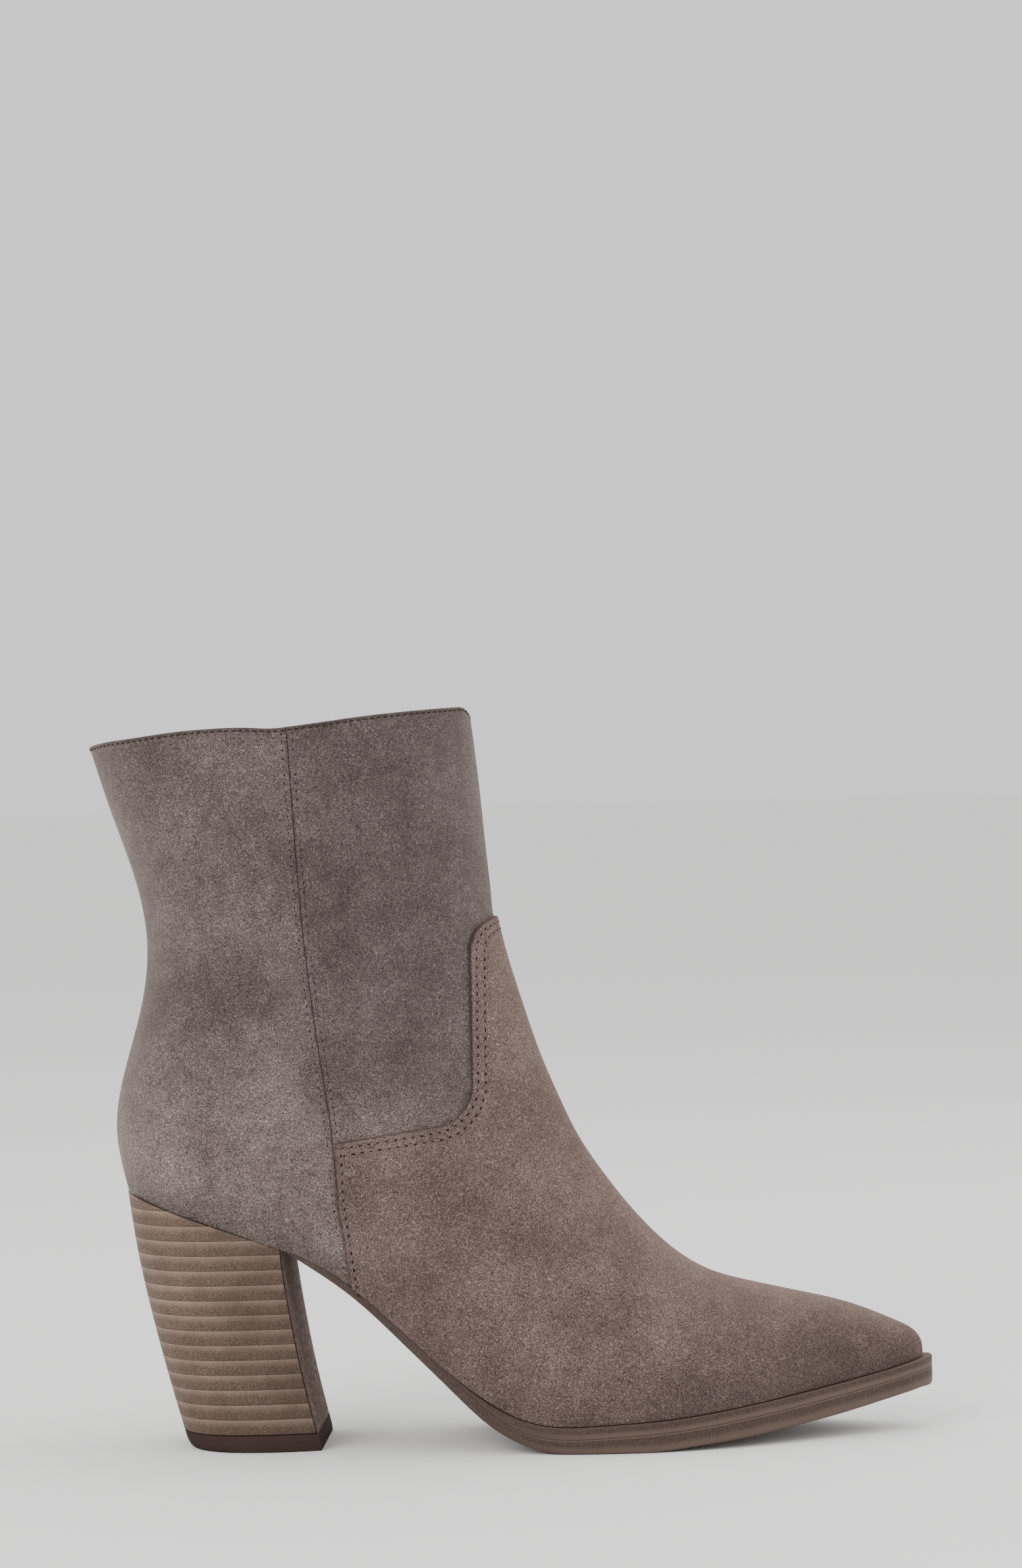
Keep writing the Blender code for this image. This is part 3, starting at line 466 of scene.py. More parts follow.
def normals(points, closed_rows=0):
    """Outward unit normals of a grid. Rows before closed_rows run right round the leg."""
    along = np.gradient(points, axis=0)
    across = np.gradient(points, axis=1)
    leg = slice(0, closed_rows)
    across[leg, 0] = across[leg, -1] = (points[leg, 1] - points[leg, -2]) / 2
    normal = np.cross(across, along)
    normal[leg, 0, 1] = normal[leg, -1, 1] = 0.0
    length = np.linalg.norm(normal, axis=2)[:, :, None]
    normal = normal / np.maximum(length, TINY)
    middle = normal[0, points.shape[1] // 2]
    return normal if middle[0] > 0 else -normal


def lower_edges(values, closed_rows=0):
    """The parts of a grid's values that lie along the feather line: both sides and the toe."""
    foot = values[closed_rows:]
    return foot[:, 0], foot[:, -1], foot[-1]


def moved_out(points, distance, closed_rows=0):
    """A grid moved along its normals, its lower edge moved level and kept on the feather line."""
    normal = normals(points, closed_rows)
    for edge in lower_edges(normal, closed_rows):
        edge[:, 2] = 0.0
        edge /= np.linalg.norm(edge, axis=1)[:, None]
    face = points + normal * distance
    foot = face[closed_rows:]
    foot[:, :, 2] = np.maximum(foot[:, :, 2], feather_height(foot[:, :, 0]))
    for edge in lower_edges(face, closed_rows):
        edge[:, 2] = feather_height(edge[:, 0])
    return face


# The upper's grid, which the lining, the sole and the insole follow too

COLUMN_SHARES = np.linspace(0.0, 1.0, HALF_COLUMNS + 1)
COLLAR_ROWS = np.array([0.6, 0.7, 0.8, 0.9, 1.0, 1.2, 1.5, 1.9, 2.5, 3.3, 4.3, 5.4])
LEG_ROWS = np.linspace(LEG_ROWS_FROM, HEEL_EDGE, round(HEEL_EDGE / ROW_SPACING))
FOOT_ROWS = np.linspace(HEEL_EDGE, TOE_EDGE, round((TOE_EDGE - HEEL_EDGE) / ROW_SPACING))[1:]
UPPER_ROWS = np.concatenate([COLLAR_ROWS, LEG_ROWS, FOOT_ROWS])
CLOSED_ROWS = len(COLLAR_ROWS) + len(LEG_ROWS)
LAST = both_sides(UPPER_ROWS[:, None], UPPER_ROWS[:, None])


def feather_line():
    """The upper's lower edge from the heel's back to the toe tip, on the outer and inner side."""
    foot = LAST[CLOSED_ROWS - 1 :]
    toe = foot[-1]
    outer = np.concatenate([foot[:, 0], toe[1 : HALF_COLUMNS + 1]])
    inner = np.concatenate([foot[:, -1], toe[-2 : HALF_COLUMNS - 1 : -1]])
    return outer, inner


FEATHER = feather_line()
TOE_SLOPE = (FEATHER[0][-1, 2] - FEATHER[0][-HALF_COLUMNS, 2]) / (
    FEATHER[0][-1, 0] - FEATHER[0][-HALF_COLUMNS, 0]
)


def feather_height(x):
    """The feather line's height at places along the boot."""
    line = FEATHER[0]
    end = line[-1] + np.array([BEYOND_TOE, 0.0, BEYOND_TOE * TOE_SLOPE])
    return np.interp(x, np.append(line[:, 0], end[0]), np.append(line[:, 2], end[2]))


# Meshes

def finished_mesh(name, points, faces, **values):
    """A welded mesh in metres with its faces outwards, and with values kept at its points."""
    mesh = bpy.data.meshes.new(name)
    mesh.from_pydata((points * MM).tolist(), [], faces)
    for key, value in values.items():
        mesh.attributes.new(key, "FLOAT", "POINT").data.foreach_set("value", value.ravel())
    bm = bmesh.new()
    bm.from_mesh(mesh)
    bmesh.ops.remove_doubles(bm, verts=bm.verts, dist=WELD * MM)
    bmesh.ops.recalc_face_normals(bm, faces=bm.faces)
    bm.to_mesh(mesh)
    bm.free()
    mesh.shade_smooth()
    mesh.set_sharp_from_angle(angle=math.radians(SHARP_ANGLE))
    return mesh


def wall_mesh(name, outer, inner, closed_rows=0, **values):
    """A closed wall between two faces of one grid. Rows before closed_rows run right round and
    are welded at the back. Each value is given once for both faces."""
    rows, columns = outer.shape[:2]
    number = np.arange(2 * rows * columns).reshape(2, rows, columns)
    faces = []
    for face in number:
        corners = (face[:-1, :-1], face[:-1, 1:], face[1:, 1:], face[1:, :-1])
        faces.append(np.stack(corners, axis=-1).reshape(-1, 4))
    first_open = max(0, closed_rows - 1)
    sides = [number[:, first_open:, 0], number[:, first_open:, -1]]
    for outer_edge, inner_edge in (number[:, 0], number[:, -1], *sides):
        corners = (outer_edge[:-1], outer_edge[1:], inner_edge[1:], inner_edge[:-1])
        faces.append(np.stack(corners, axis=-1))
    points = np.concatenate([outer.reshape(-1, 3), inner.reshape(-1, 3)])
    doubled = {key: np.concatenate([value.ravel()] * 2) for key, value in values.items()}
    return finished_mesh(name, points, np.concatenate(faces).tolist(), **doubled)


def slab_mesh(name, rings, shares):
    """A solid through rings stacked from top to bottom. Each ring is an outer and an inner edge
    line with as many points, and its share of the height is kept at its points."""
    half = len(rings[0][0])
    loops = np.arange(len(rings) * 2 * half).reshape(len(rings), 2, half)
    points = np.concatenate([np.concatenate(ring) for ring in rings])
    faces = []
    for above, below in zip(loops, loops[1:]):
        loop_a = np.concatenate([above[0], above[1, ::-1]])
        loop_b = np.concatenate([below[0], below[1, ::-1]])
        faces.append(np.stack([loop_a, np.roll(loop_a, -1), np.roll(loop_b, -1), loop_b], axis=-1))
    for left, right in (loops[0], loops[-1]):
        faces.append(np.stack([left[:-1], left[1:], right[1:], right[:-1]], axis=-1))
    share = np.repeat(np.asarray(shares, float), 2 * half)
    return finished_mesh(name, points, np.concatenate(faces).tolist(), share=share)


def cut_above(mesh, point, normal):
    """Slices a solid along a plane and keeps what is below it."""
    bm = bmesh.new()
    bm.from_mesh(mesh)
    parts = bm.verts[:] + bm.edges[:] + bm.faces[:]
    cut = bmesh.ops.bisect_plane(
        bm, geom=parts, plane_co=point * MM, plane_no=normal, clear_outer=True,
        dist=CUT_TOLERANCE * MM,
    )
    rim = [item for item in cut["geom_cut"] if isinstance(item, bmesh.types.BMEdge)]
    if rim:
        bmesh.ops.contextual_create(bm, geom=rim)
    bmesh.ops.remove_doubles(bm, verts=bm.verts, dist=WELD * MM)
    bmesh.ops.recalc_face_normals(bm, faces=bm.faces)
    bm.to_mesh(mesh)
    bm.free()
    mesh.set_sharp_from_angle(angle=math.radians(SHARP_ANGLE))


def new_object(name, data):
    """An object in the scene for a mesh, a light or a camera."""
    made = bpy.data.objects.new(name, data)
    bpy.context.scene.collection.objects.link(made)
    return made


def add_piece(name, mesh, materials, stands_for=()):
    """Puts a finished mesh in place: its materials and the CAD nodes it stands for."""
    for material in materials:
        mesh.materials.append(material)
    piece = new_object(name, mesh)
    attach(piece, "root")
    if stands_for:
        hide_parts(*stands_for)
    return piece


def add_second_finish(piece, pick, limit):
    """Gives a piece's second material to faces where the picked share of their points, the
    smallest or the largest, is below a limit."""
    share = piece.data.attributes["share"].data
    for face in piece.data.polygons:
        if pick(share[point].value for point in face.vertices) < limit:
            face.material_index = 1


# Materials

MIX_A, MIX_B, MIXED = 6, 7, 2
Pattern = namedtuple("Pattern", "size detail roughness distortion")
Fade = namedtuple("Fade", "value start end before after")


def linear(code):
    """A shader colour from an sRGB hex code."""
    parts = [int(code[i : i + 2], 16) / 255 for i in (1, 3, 5)]
    return (*[c / 12.92 if c <= 0.04045 else ((c + 0.055) / 1.055) ** 2.4 for c in parts], 1.0)


def per_metre(size):
    """Texture scale that makes a pattern's features about this many millimetres across."""
    return 1 / (size * MM)


def set_inputs(tree, node, inputs):
    """Gives each input of a node a value or another node's output."""
    for socket, value in dict(inputs).items():
        if isinstance(value, bpy.types.NodeSocket):
            tree.links.new(value, node.inputs[socket])
        else:
            node.inputs[socket].default_value = value


def add_node(tree, kind, inputs=(), stops=(), **settings):
    """Adds a node with its settings and links, and with the stops of its colour ramp if it has one."""
    node = tree.nodes.new(kind)
    for name, value in settings.items():
        setattr(node, name, value)
    set_inputs(tree, node, inputs)
    for number, (position, code) in enumerate(stops):
        ramp = node.color_ramp.elements
        stop = ramp[number] if number < len(ramp) else ramp.new(position)
        stop.position, stop.color = position, linear(code)
    return node


def new_material(name):
    """An empty material, its tree, its shader and its Object coordinates."""
    material = bpy.data.materials.new(name)
    material.use_nodes = True
    tree = material.node_tree
    shader = tree.nodes["Principled BSDF"]
    place = add_node(tree, "ShaderNodeTexCoord").outputs["Object"]
    return material, tree, shader, place


def faded(tree, *factors):
    """Numbers multiplied together. A Fade among them changes smoothly along another value, from
    what it is before the start to what it is after the end."""
    result = None
    for factor in factors:
        if isinstance(factor, Fade):
            factor = add_node(tree, "ShaderNodeMapRange",
                              {"Value": factor.value,
                               "From Min": factor.start, "From Max": factor.end,
                               "To Min": factor.before, "To Max": factor.after},
                              interpolation_type="SMOOTHSTEP").outputs["Result"]
        if result is not None:
            factor = add_node(tree, "ShaderNodeMath", {0: result, 1: factor},
                              operation="MULTIPLY").outputs[0]
        result = factor
    return result


def stained(tree, colour, *stains):
    """A colour with stains laid over it, each an amount and an sRGB hex code."""
    for amount, code in stains:
        colour = add_node(tree, "ShaderNodeMix",
                          {"Factor": amount, MIX_A: colour, MIX_B: linear(code)},
                          data_type="RGBA").outputs[MIXED]
    return colour


# Suede's patterns in millimetres: clouds where it was stroked, shorter strokes, tufts, the nap and
# curled fibres. Real fibres are about 0.1 mm thick; the nap is drawn about three times as coarse
# and the curls about six times, so that they show.
SUEDE_PATTERNS = [
    Pattern(26, 2.0, 0.5, 0.0),
    Pattern(6, 2.0, 0.5, 0.0),
    Pattern(1.3, 2.0, 0.6, 0.0),
    Pattern(0.36, 1.5, 0.7, 0.6),
    Pattern(0.6, 0.5, 0.5, 1.2),
]


def suede(name, light, middle, dark, bloom, finish):
    """Split suede, brushed: short raised fibres scatter light softly, so there is no gloss but a
    pale bloom at the edges, and stroked patches lie lighter or darker."""
    material, tree, shader, place = new_material(name)
    clouds, strokes, tufts, nap, curls = (
        add_node(tree, "ShaderNodeTexNoise",
                 {"Vector": place, "Scale": per_metre(pattern.size), "Detail": pattern.detail,
                  "Roughness": pattern.roughness, "Distortion": pattern.distortion}).outputs["Fac"]
        for pattern in SUEDE_PATTERNS
    )
    patches = add_node(tree, "ShaderNodeMath", {0: clouds, 1: 0.65}, operation="MULTIPLY")
    patches = add_node(tree, "ShaderNodeMath", {0: strokes, 1: 0.35, 2: patches.outputs[0]},
                       operation="MULTIPLY_ADD")
    tone = add_node(tree, "ShaderNodeValToRGB", {"Fac": patches.outputs[0]},
                    stops=((0.36, dark), (0.64, light), (0.5, middle)))
    from_fibre = add_node(tree, "ShaderNodeMath", {0: curls, 1: 0.5}, operation="SUBTRACT")
    from_fibre = add_node(tree, "ShaderNodeMath", {0: from_fibre.outputs[0]}, operation="ABSOLUTE")
    fibres = Fade(from_fibre.outputs[0], 0.0, 0.06, 2.2, 0.8)
    soft = add_node(tree, "ShaderNodeMapRange",
                    {"Value": tufts, "From Min": 0.3, "From Max": 0.7,
                     "To Min": 0.88, "To Max": 1.12}).outputs["Result"]
    pits = add_node(tree, "ShaderNodeMapRange",
                    {"Value": nap, "From Min": 0.36, "From Max": 0.64,
                     "To Min": 0.36, "To Max": 1.6}).outputs["Result"]
    shade, height = finish(tree, place, nap)
    colour = add_node(tree, "ShaderNodeMix",
                      {"Factor": 1.0, MIX_A: tone.outputs["Color"],
                       MIX_B: faded(tree, shade, soft, pits, fibres)},
                      data_type="RGBA", blend_type="MULTIPLY")
    bump = add_node(tree, "ShaderNodeBump",
                    {"Height": height, "Strength": 0.6, "Distance": 0.4 * MM})
    set_inputs(tree, shader, {
        "Base Color": colour.outputs[MIXED],
        "Normal": bump.outputs["Normal"],
        "Roughness": 0.92,
        "Specular IOR Level": 0.1,
        "Sheen Weight": 0.4,
        "Sheen Roughness": 0.55,
        "Sheen Tint": linear(bloom),
    })
    return material


def shaft_finish(tree, place, nap):
    """The closed side seam as a line pressed into a groove and darkened there by painted shade, the
    front panel a little darker than the back one with painted shade deepening further towards the
    front, the counter paler lower down, the folded topline darker and the low edge darker with
    dust and painted shade."""
    seam, topline, above = (
        add_node(tree, "ShaderNodeAttribute", attribute_name=name).outputs["Fac"]
        for name in ("seam", "topline", "above_sole")
    )
    height = add_node(tree, "ShaderNodeSeparateXYZ", {0: place}).outputs["Z"]
    wander = add_node(tree, "ShaderNodeTexNoise",
                      {"Vector": place, "Scale": per_metre(1.6), "Detail": 2.0}).outputs["Fac"]
    wavy = add_node(tree, "ShaderNodeMath", {0: wander, 1: 0.6, 2: seam}, operation="MULTIPLY_ADD")
    wavy = add_node(tree, "ShaderNodeMath", {0: wavy.outputs[0], 1: 0.3}, operation="SUBTRACT")
    beside = add_node(tree, "ShaderNodeMath", {0: wavy.outputs[0]}, operation="ABSOLUTE").outputs[0]
    # The front panel is a little darker suede. Past the seam, painted shade deepens towards the front,
    # which faces away from the key light.
    front = Fade(seam, -0.5, 0.5, 1.0, 0.93)
    front_painted_shade = Fade(seam, -14.0, 26.0, 1.0, 0.84)
    # Painted shade in the seam's groove: beside the seam the suede is darkened to about a quarter.
    seam_groove_shade = Fade(beside, 0.08, 0.4, 0.28, 1.0)
    # Darker along the folded topline, within 1.4 mm of its edge.
    rubbed = Fade(topline, 0.3, 1.4, 0.72, 1.0)
    # Paler lower down the counter: half as bright again below 85 mm, fading out by 150 mm.
    brushed = Fade(height, 85 * MM, 150 * MM, 1.5, 1.0)
    # Dust and painted shade: darker within 15 mm above the sole, in place of the shade low on the boot.
    dust_and_low_shade = Fade(above, 0.0, 15.0, 0.68, 1.0)
    groove = faded(tree, Fade(beside, 0.0, 1.3, -2.4, 0.0))
    bumps = add_node(tree, "ShaderNodeMath", {0: nap, 1: groove}, operation="ADD").outputs[0]
    return faded(tree, front, front_painted_shade, seam_groove_shade, rubbed, brushed, dust_and_low_shade), bumps


def vamp_finish(tree, place, nap):
    """The vamp's unfinished cut edge is dark, with painted shade along it, and dust with painted shade
    darkens the suede along the sole, most at the toe, whose tip is darkened a little more by painted
    shade.
    """
    cut, above = (
        add_node(tree, "ShaderNodeAttribute", attribute_name=name).outputs["Fac"]
        for name in ("cut", "above_sole")
    )
    along = add_node(tree, "ShaderNodeSeparateXYZ", {0: place}).outputs["X"]
    # Dark unfinished cut edge, with painted shade along it where the raised edge would shade itself.
    cut_edge_and_shade = Fade(cut, 0.1, 0.65, 0.24, 1.0)
    # Dust and painted shade along the sole, strongest towards the toe, in place of the shade low on the
    # boot; worn below is this plus one.
    dust = faded(tree, Fade(above, 0.0, 24.0, -0.4, 0.0), Fade(along, -10 * MM, 80 * MM, 0.3, 1.0))
    worn = add_node(tree, "ShaderNodeMath", {0: dust, 1: 1.0}, operation="ADD").outputs[0]
    # Painted shade darkens the toe's tip a little.
    tip = Fade(along, 50 * MM, 100 * MM, 1.0, 0.97)
    return faded(tree, cut_edge_and_shade, worn, tip), nap


def smooth_leather(name, light, dark, roughness, grain, blotches):
    """Vegetable-tanned lining or cover leather: a shallow pebbled grain, soft blotches and a dull
    shine where it is rubbed."""
    material, tree, shader, place = new_material(name)
    blotch = add_node(tree, "ShaderNodeTexNoise",
                      {"Vector": place, "Scale": per_metre(blotches), "Detail": 5.0,
                       "Roughness": 0.65}).outputs["Fac"]
    pebble = add_node(tree, "ShaderNodeTexVoronoi", {"Vector": place, "Scale": per_metre(grain)},
                      feature="SMOOTH_F1")
    tone = add_node(tree, "ShaderNodeValToRGB", {"Fac": blotch}, stops=((0.36, dark), (0.66, light)))
    worn = add_node(tree, "ShaderNodeMapRange",
                    {"Value": blotch, "From Min": 0.3, "From Max": 0.7,
                     "To Min": roughness + 0.1, "To Max": roughness - 0.1})
    bump = add_node(tree, "ShaderNodeBump",
                    {"Height": pebble.outputs["Distance"], "Strength": 0.35, "Distance": 0.12 * MM})
    set_inputs(tree, shader, {
        "Base Color": tone.outputs["Color"],
        "Normal": bump.outputs["Normal"],
        "Roughness": worn.outputs["Result"],
        "Specular IOR Level": 0.015,
    })
    return material


# The worn colour is the painted highlight along the top of each layer.
def burnished_edge(name, light, dark, worn):
    """Leatherboard edge, trimmed, stained and burnished: each layer is dark and speckled where
    the stain soaked in, with a smoother, paler band where the burnishing wheel ran and a painted
    highlight along its top edge; the waist is darker with stain and painted shade."""
    material, tree, shader, place = new_material(name)
    share = add_node(tree, "ShaderNodeAttribute", attribute_name="share").outputs["Fac"]
    along = add_node(tree, "ShaderNodeSeparateXYZ", {0: place}).outputs["X"]
    wander = add_node(tree, "ShaderNodeTexNoise",
                      {"Vector": place, "Scale": per_metre(18), "Detail": 3.0}).outputs["Fac"]
    speckle = add_node(tree, "ShaderNodeTexNoise",
                       {"Vector": place, "Scale": per_metre(0.4), "Detail": 2.5,
                        "Roughness": 0.75}).outputs["Fac"]
    level = add_node(tree, "ShaderNodeMath", {0: wander, 1: 0.3, 2: share},
                     operation="MULTIPLY_ADD").outputs[0]
    soaked = faded(tree, Fade(level, 0.4, 0.8, 0.0, 1.0))
    low_rim = faded(tree, Fade(share, 0.0, 0.1, 0.7, 0.0))
    # Darker at the waist under the arch: stain, and painted shade where the edge faces the floor.
    waist = faded(tree, Fade(along, -10 * MM, 30 * MM, 1.0, 0.0), Fade(share, 0.05, 0.5, 0.8, 1.0))
    for stain in (low_rim, waist):
        soaked = add_node(tree, "ShaderNodeMath", {0: soaked, 1: stain},
                          operation="MAXIMUM").outputs[0]
    speckled = faded(tree, soaked, Fade(speckle, 0.34, 0.64, 0.3, 1.0))
    # Painted highlight along the top of each layer, in front of the waist.
    ledge = faded(tree, Fade(share, 0.9, 0.98, 0.0, 0.6), Fade(along, -12 * MM, 4 * MM, 0.0, 1.0))
    bump = add_node(tree, "ShaderNodeBump",
                    {"Height": speckle, "Strength": 0.25, "Distance": 0.1 * MM})
    set_inputs(tree, shader, {
        "Base Color": stained(tree, linear(light), (speckled, dark), (ledge, worn)),
        "Normal": bump.outputs["Normal"],
        "Roughness": 0.6,
        "Specular IOR Level": 0.25,
    })
    return material


def stacked_leather(name, light, middle, dark, highlight_line, dark_line, low, pitch):
    """Leather lifts, glued, sanded flush and stained: each lift is paler along its top, darker and
    speckled below, with a fine painted highlight line above a fine dark one where two lifts meet,
    and painted light makes the heel's back paler and its front darker, as if lit from the left."""
    material, tree, shader, place = new_material(name)
    where = add_node(tree, "ShaderNodeSeparateXYZ", {0: place}).outputs
    waver = add_node(tree, "ShaderNodeTexNoise",
                     {"Vector": place, "Scale": per_metre(16), "Detail": 2.0}).outputs["Fac"]
    speckle = add_node(tree, "ShaderNodeTexNoise",
                       {"Vector": place, "Scale": per_metre(0.36), "Detail": 2.5,
                        "Roughness": 0.75}).outputs["Fac"]
    blotch = add_node(tree, "ShaderNodeTexNoise",
                      {"Vector": place, "Scale": per_metre(13), "Detail": 3.0,
                       "Roughness": 0.6}).outputs["Fac"]
    lifts = add_node(tree, "ShaderNodeMapRange",
                     {"Value": where["Z"], "From Min": low * MM, "From Max": (low + pitch) * MM},
                     clamp=False).outputs["Result"]
    share = add_node(tree, "ShaderNodeMath", {0: lifts}, operation="FRACT").outputs[0]
    level = add_node(tree, "ShaderNodeMath", {0: waver, 1: 0.35, 2: share},
                     operation="MULTIPLY_ADD").outputs[0]
    speckled = faded(tree, Fade(level, 0.6, 1.3, 1.0, 0.32), Fade(speckle, 0.32, 0.66, 0.46, 1.0))
    body = add_node(tree, "ShaderNodeValToRGB", {"Fac": blotch}, stops=((0.36, middle), (0.62, light)))
    # A painted highlight line along the top of each lift.
    pale = add_node(tree, "ShaderNodeMapRange",
                    {"Value": share, "From Min": 0.9, "From Max": 0.96,
                     "To Min": 0.0, "To Max": 0.24}).outputs["Result"]
    seam = add_node(tree, "ShaderNodeMapRange",
                    {"Value": share, "From Min": 0.0, "From Max": 0.07,
                     "To Min": 0.2, "To Max": 0.0}).outputs["Result"]
    lined = stained(tree, body.outputs["Color"], (speckled, dark), (pale, highlight_line), (seam, dark_line))
    # Painted light: the heel's back paler and its front darker, as light from the left would fall on
    # it.
    painted_light_from_left = faded(tree, Fade(where["X"], -115 * MM, -80 * MM, 1.2, 0.82))
    colour = add_node(tree, "ShaderNodeMix", {"Factor": 1.0, MIX_A: lined, MIX_B: painted_light_from_left},
                      data_type="RGBA", blend_type="MULTIPLY")
    bump = add_node(tree, "ShaderNodeBump",
                    {"Height": speckle, "Strength": 0.3, "Distance": 0.1 * MM})
    set_inputs(tree, shader, {
        "Base Color": colour.outputs[MIXED],
        "Normal": bump.outputs["Normal"],
        "Roughness": 0.7,
        "Specular IOR Level": 0.2,
    })
    return material


def moulded_rubber(name, light, dark):
    """Moulded rubber of the top lift and the sole's underside: dense, dark and faintly pebbled."""
    material, tree, shader, place = new_material(name)
    dust = add_node(tree, "ShaderNodeTexNoise",
                    {"Vector": place, "Scale": per_metre(9), "Detail": 4.0, "Roughness": 0.6})
    grit = add_node(tree, "ShaderNodeTexNoise",
                    {"Vector": place, "Scale": per_metre(0.9), "Detail": 2.0})
    bump = add_node(tree, "ShaderNodeBump",
                    {"Height": grit.outputs["Fac"], "Strength": 0.2, "Distance": 0.08 * MM})
    set_inputs(tree, shader, {
        "Base Color": stained(tree, linear(dark), (dust.outputs["Fac"], light)),
        "Normal": bump.outputs["Normal"],
        "Roughness": 0.65,
        "Specular IOR Level": 0.012,
    })
    return material


def sewing_thread(name, light, dark, shine):
    """Twisted polyester thread, waxed: fine dark and pale turns with a soft shine."""
    material, tree, shader, place = new_material(name)
    twist = add_node(tree, "ShaderNodeTexNoise",
                     {"Vector": place, "Scale": per_metre(0.5), "Detail": 1.0})
    set_inputs(tree, shader, {
        "Base Color": stained(tree, linear(dark), (twist.outputs["Fac"], light)),
        "Roughness": 0.7,
        "Specular IOR Level": shine,
    })
    return material


def white_paper(name, light, dark):
    """Studio paper, matt and faintly toothed, so that it takes a soft shadow and shows no gloss."""
    material, tree, shader, place = new_material(name)
    tooth = add_node(tree, "ShaderNodeTexNoise",
                     {"Vector": place, "Scale": per_metre(2.5), "Detail": 3.0})
    set_inputs(tree, shader, {
        "Base Color": stained(tree, linear(dark), (tooth.outputs["Fac"], light)),
        "Roughness": 0.9,
        "Specular IOR Level": 0.1,
    })
    return material


# Sewing, repeated along paths by geometry nodes

RANDOM_MIN, RANDOM_MAX, RANDOM_VALUE = 2, 3, 1


def row_tree(name, sizes):
    """An empty tree for a sewn row: its named sizes, and places along the path at the pitch,
    turned so that X runs along the row and Z stands out of the leather."""
    tree = bpy.data.node_groups.new(name, "GeometryNodeTree")
    face = tree.interface
    face.new_socket("Path", in_out="INPUT", socket_type="NodeSocketGeometry")
    for size in sizes:
        face.new_socket(size, in_out="INPUT", socket_type="NodeSocketFloat")
    face.new_socket("Finish", in_out="INPUT", socket_type="NodeSocketMaterial")
    face.new_socket("Row", in_out="OUTPUT", socket_type="NodeSocketGeometry")
    given = add_node(tree, "NodeGroupInput").outputs
    path = add_node(tree, "GeometryNodeMeshToCurve", {"Mesh": given["Path"]})
    spots = add_node(tree, "GeometryNodeResampleCurve",
                     {"Curve": path.outputs["Curve"], "Length": given["Pitch"]}, mode="LENGTH")
    out = add_node(tree, "GeometryNodeInputNamedAttribute", {"Name": "out"},
                   data_type="FLOAT_VECTOR")
    tangent = add_node(tree, "GeometryNodeInputTangent")
    turn = add_node(tree, "FunctionNodeAxesToRotation",
                    {"Primary Axis": out.outputs["Attribute"],
                     "Secondary Axis": tangent.outputs["Tangent"]},
                    primary_axis="Z", secondary_axis="X")
    return tree, given, spots.outputs["Curve"], turn.outputs["Rotation"]


def end_row(tree, given, spots, turn, shape, least):
    """Sets a shape at every spot, some a little smaller, and makes it one mesh with its finish."""
    size = add_node(tree, "FunctionNodeRandomValue",
                    {RANDOM_MIN: least, RANDOM_MAX: 1.0, "Seed": ROW_SEED}, data_type="FLOAT")
    placed = add_node(tree, "GeometryNodeInstanceOnPoints",
                      {"Points": spots, "Instance": shape, "Rotation": turn,
                       "Scale": size.outputs[RANDOM_VALUE]})
    real = add_node(tree, "GeometryNodeRealizeInstances", {"Geometry": placed.outputs["Instances"]})
    finish = add_node(tree, "GeometryNodeSetMaterial",
                      {"Geometry": real.outputs["Geometry"], "Material": given["Finish"]})
    add_node(tree, "NodeGroupOutput", {"Row": finish.outputs["Geometry"]})
    return tree


def stitch_tree():
    """A row of stitches: each a short bowed thread from one needle hole to the next."""
    tree, given, spots, turn = row_tree("stitch_row", ("Pitch", "Length", "Thread", "Rise", "Sink"))
    lead = add_node(tree, "ShaderNodeMath", {0: given["Pitch"], 1: given["Length"]},
                    operation="SUBTRACT").outputs[0]
    near = add_node(tree, "ShaderNodeMath", {0: lead, 1: 0.5}, operation="MULTIPLY").outputs[0]
    far = add_node(tree, "ShaderNodeMath", {0: near, 1: given["Length"]}, operation="ADD").outputs[0]
    middle = add_node(tree, "ShaderNodeMath", {0: given["Pitch"], 1: 0.5},
                      operation="MULTIPLY").outputs[0]
    first, top, last = (
        add_node(tree, "ShaderNodeCombineXYZ", {"X": along, "Z": given[height]}).outputs[0]
        for along, height in ((near, "Sink"), (middle, "Rise"), (far, "Sink"))
    )
    bow = add_node(tree, "GeometryNodeCurveQuadraticBezier",
                   {"Resolution": BOW_STEPS, "Start": first, "Middle": top, "End": last})
    outline = add_node(tree, "GeometryNodeCurvePrimitiveCircle",
                       {"Resolution": THREAD_SIDES, "Radius": given["Thread"]})
    thread = add_node(tree, "GeometryNodeCurveToMesh",
                      {"Curve": bow.outputs["Curve"], "Profile Curve": outline.outputs["Curve"],
                       "Fill Caps": True})
    return end_row(tree, given, spots, turn, thread.outputs["Mesh"], LEAST_STITCH)


def hole_tree():
    """A row of needle holes: short slots, dark with painted shade, that just break the leather's face.
    """
    tree, given, spots, turn = row_tree("needle_holes", ("Pitch", "Length", "Width", "Depth"))
    ball = add_node(tree, "GeometryNodeMeshUVSphere",
                    {"Segments": HOLE_SEGMENTS, "Rings": HOLE_RINGS, "Radius": 1.0})
    size = add_node(tree, "ShaderNodeCombineXYZ",
                    {"X": given["Length"], "Y": given["Width"], "Z": given["Depth"]})
    dimple = add_node(tree, "GeometryNodeTransform",
                      {"Geometry": ball.outputs["Mesh"], "Scale": size.outputs[0]})
    return end_row(tree, given, spots, turn, dimple.outputs["Geometry"], LEAST_HOLE)


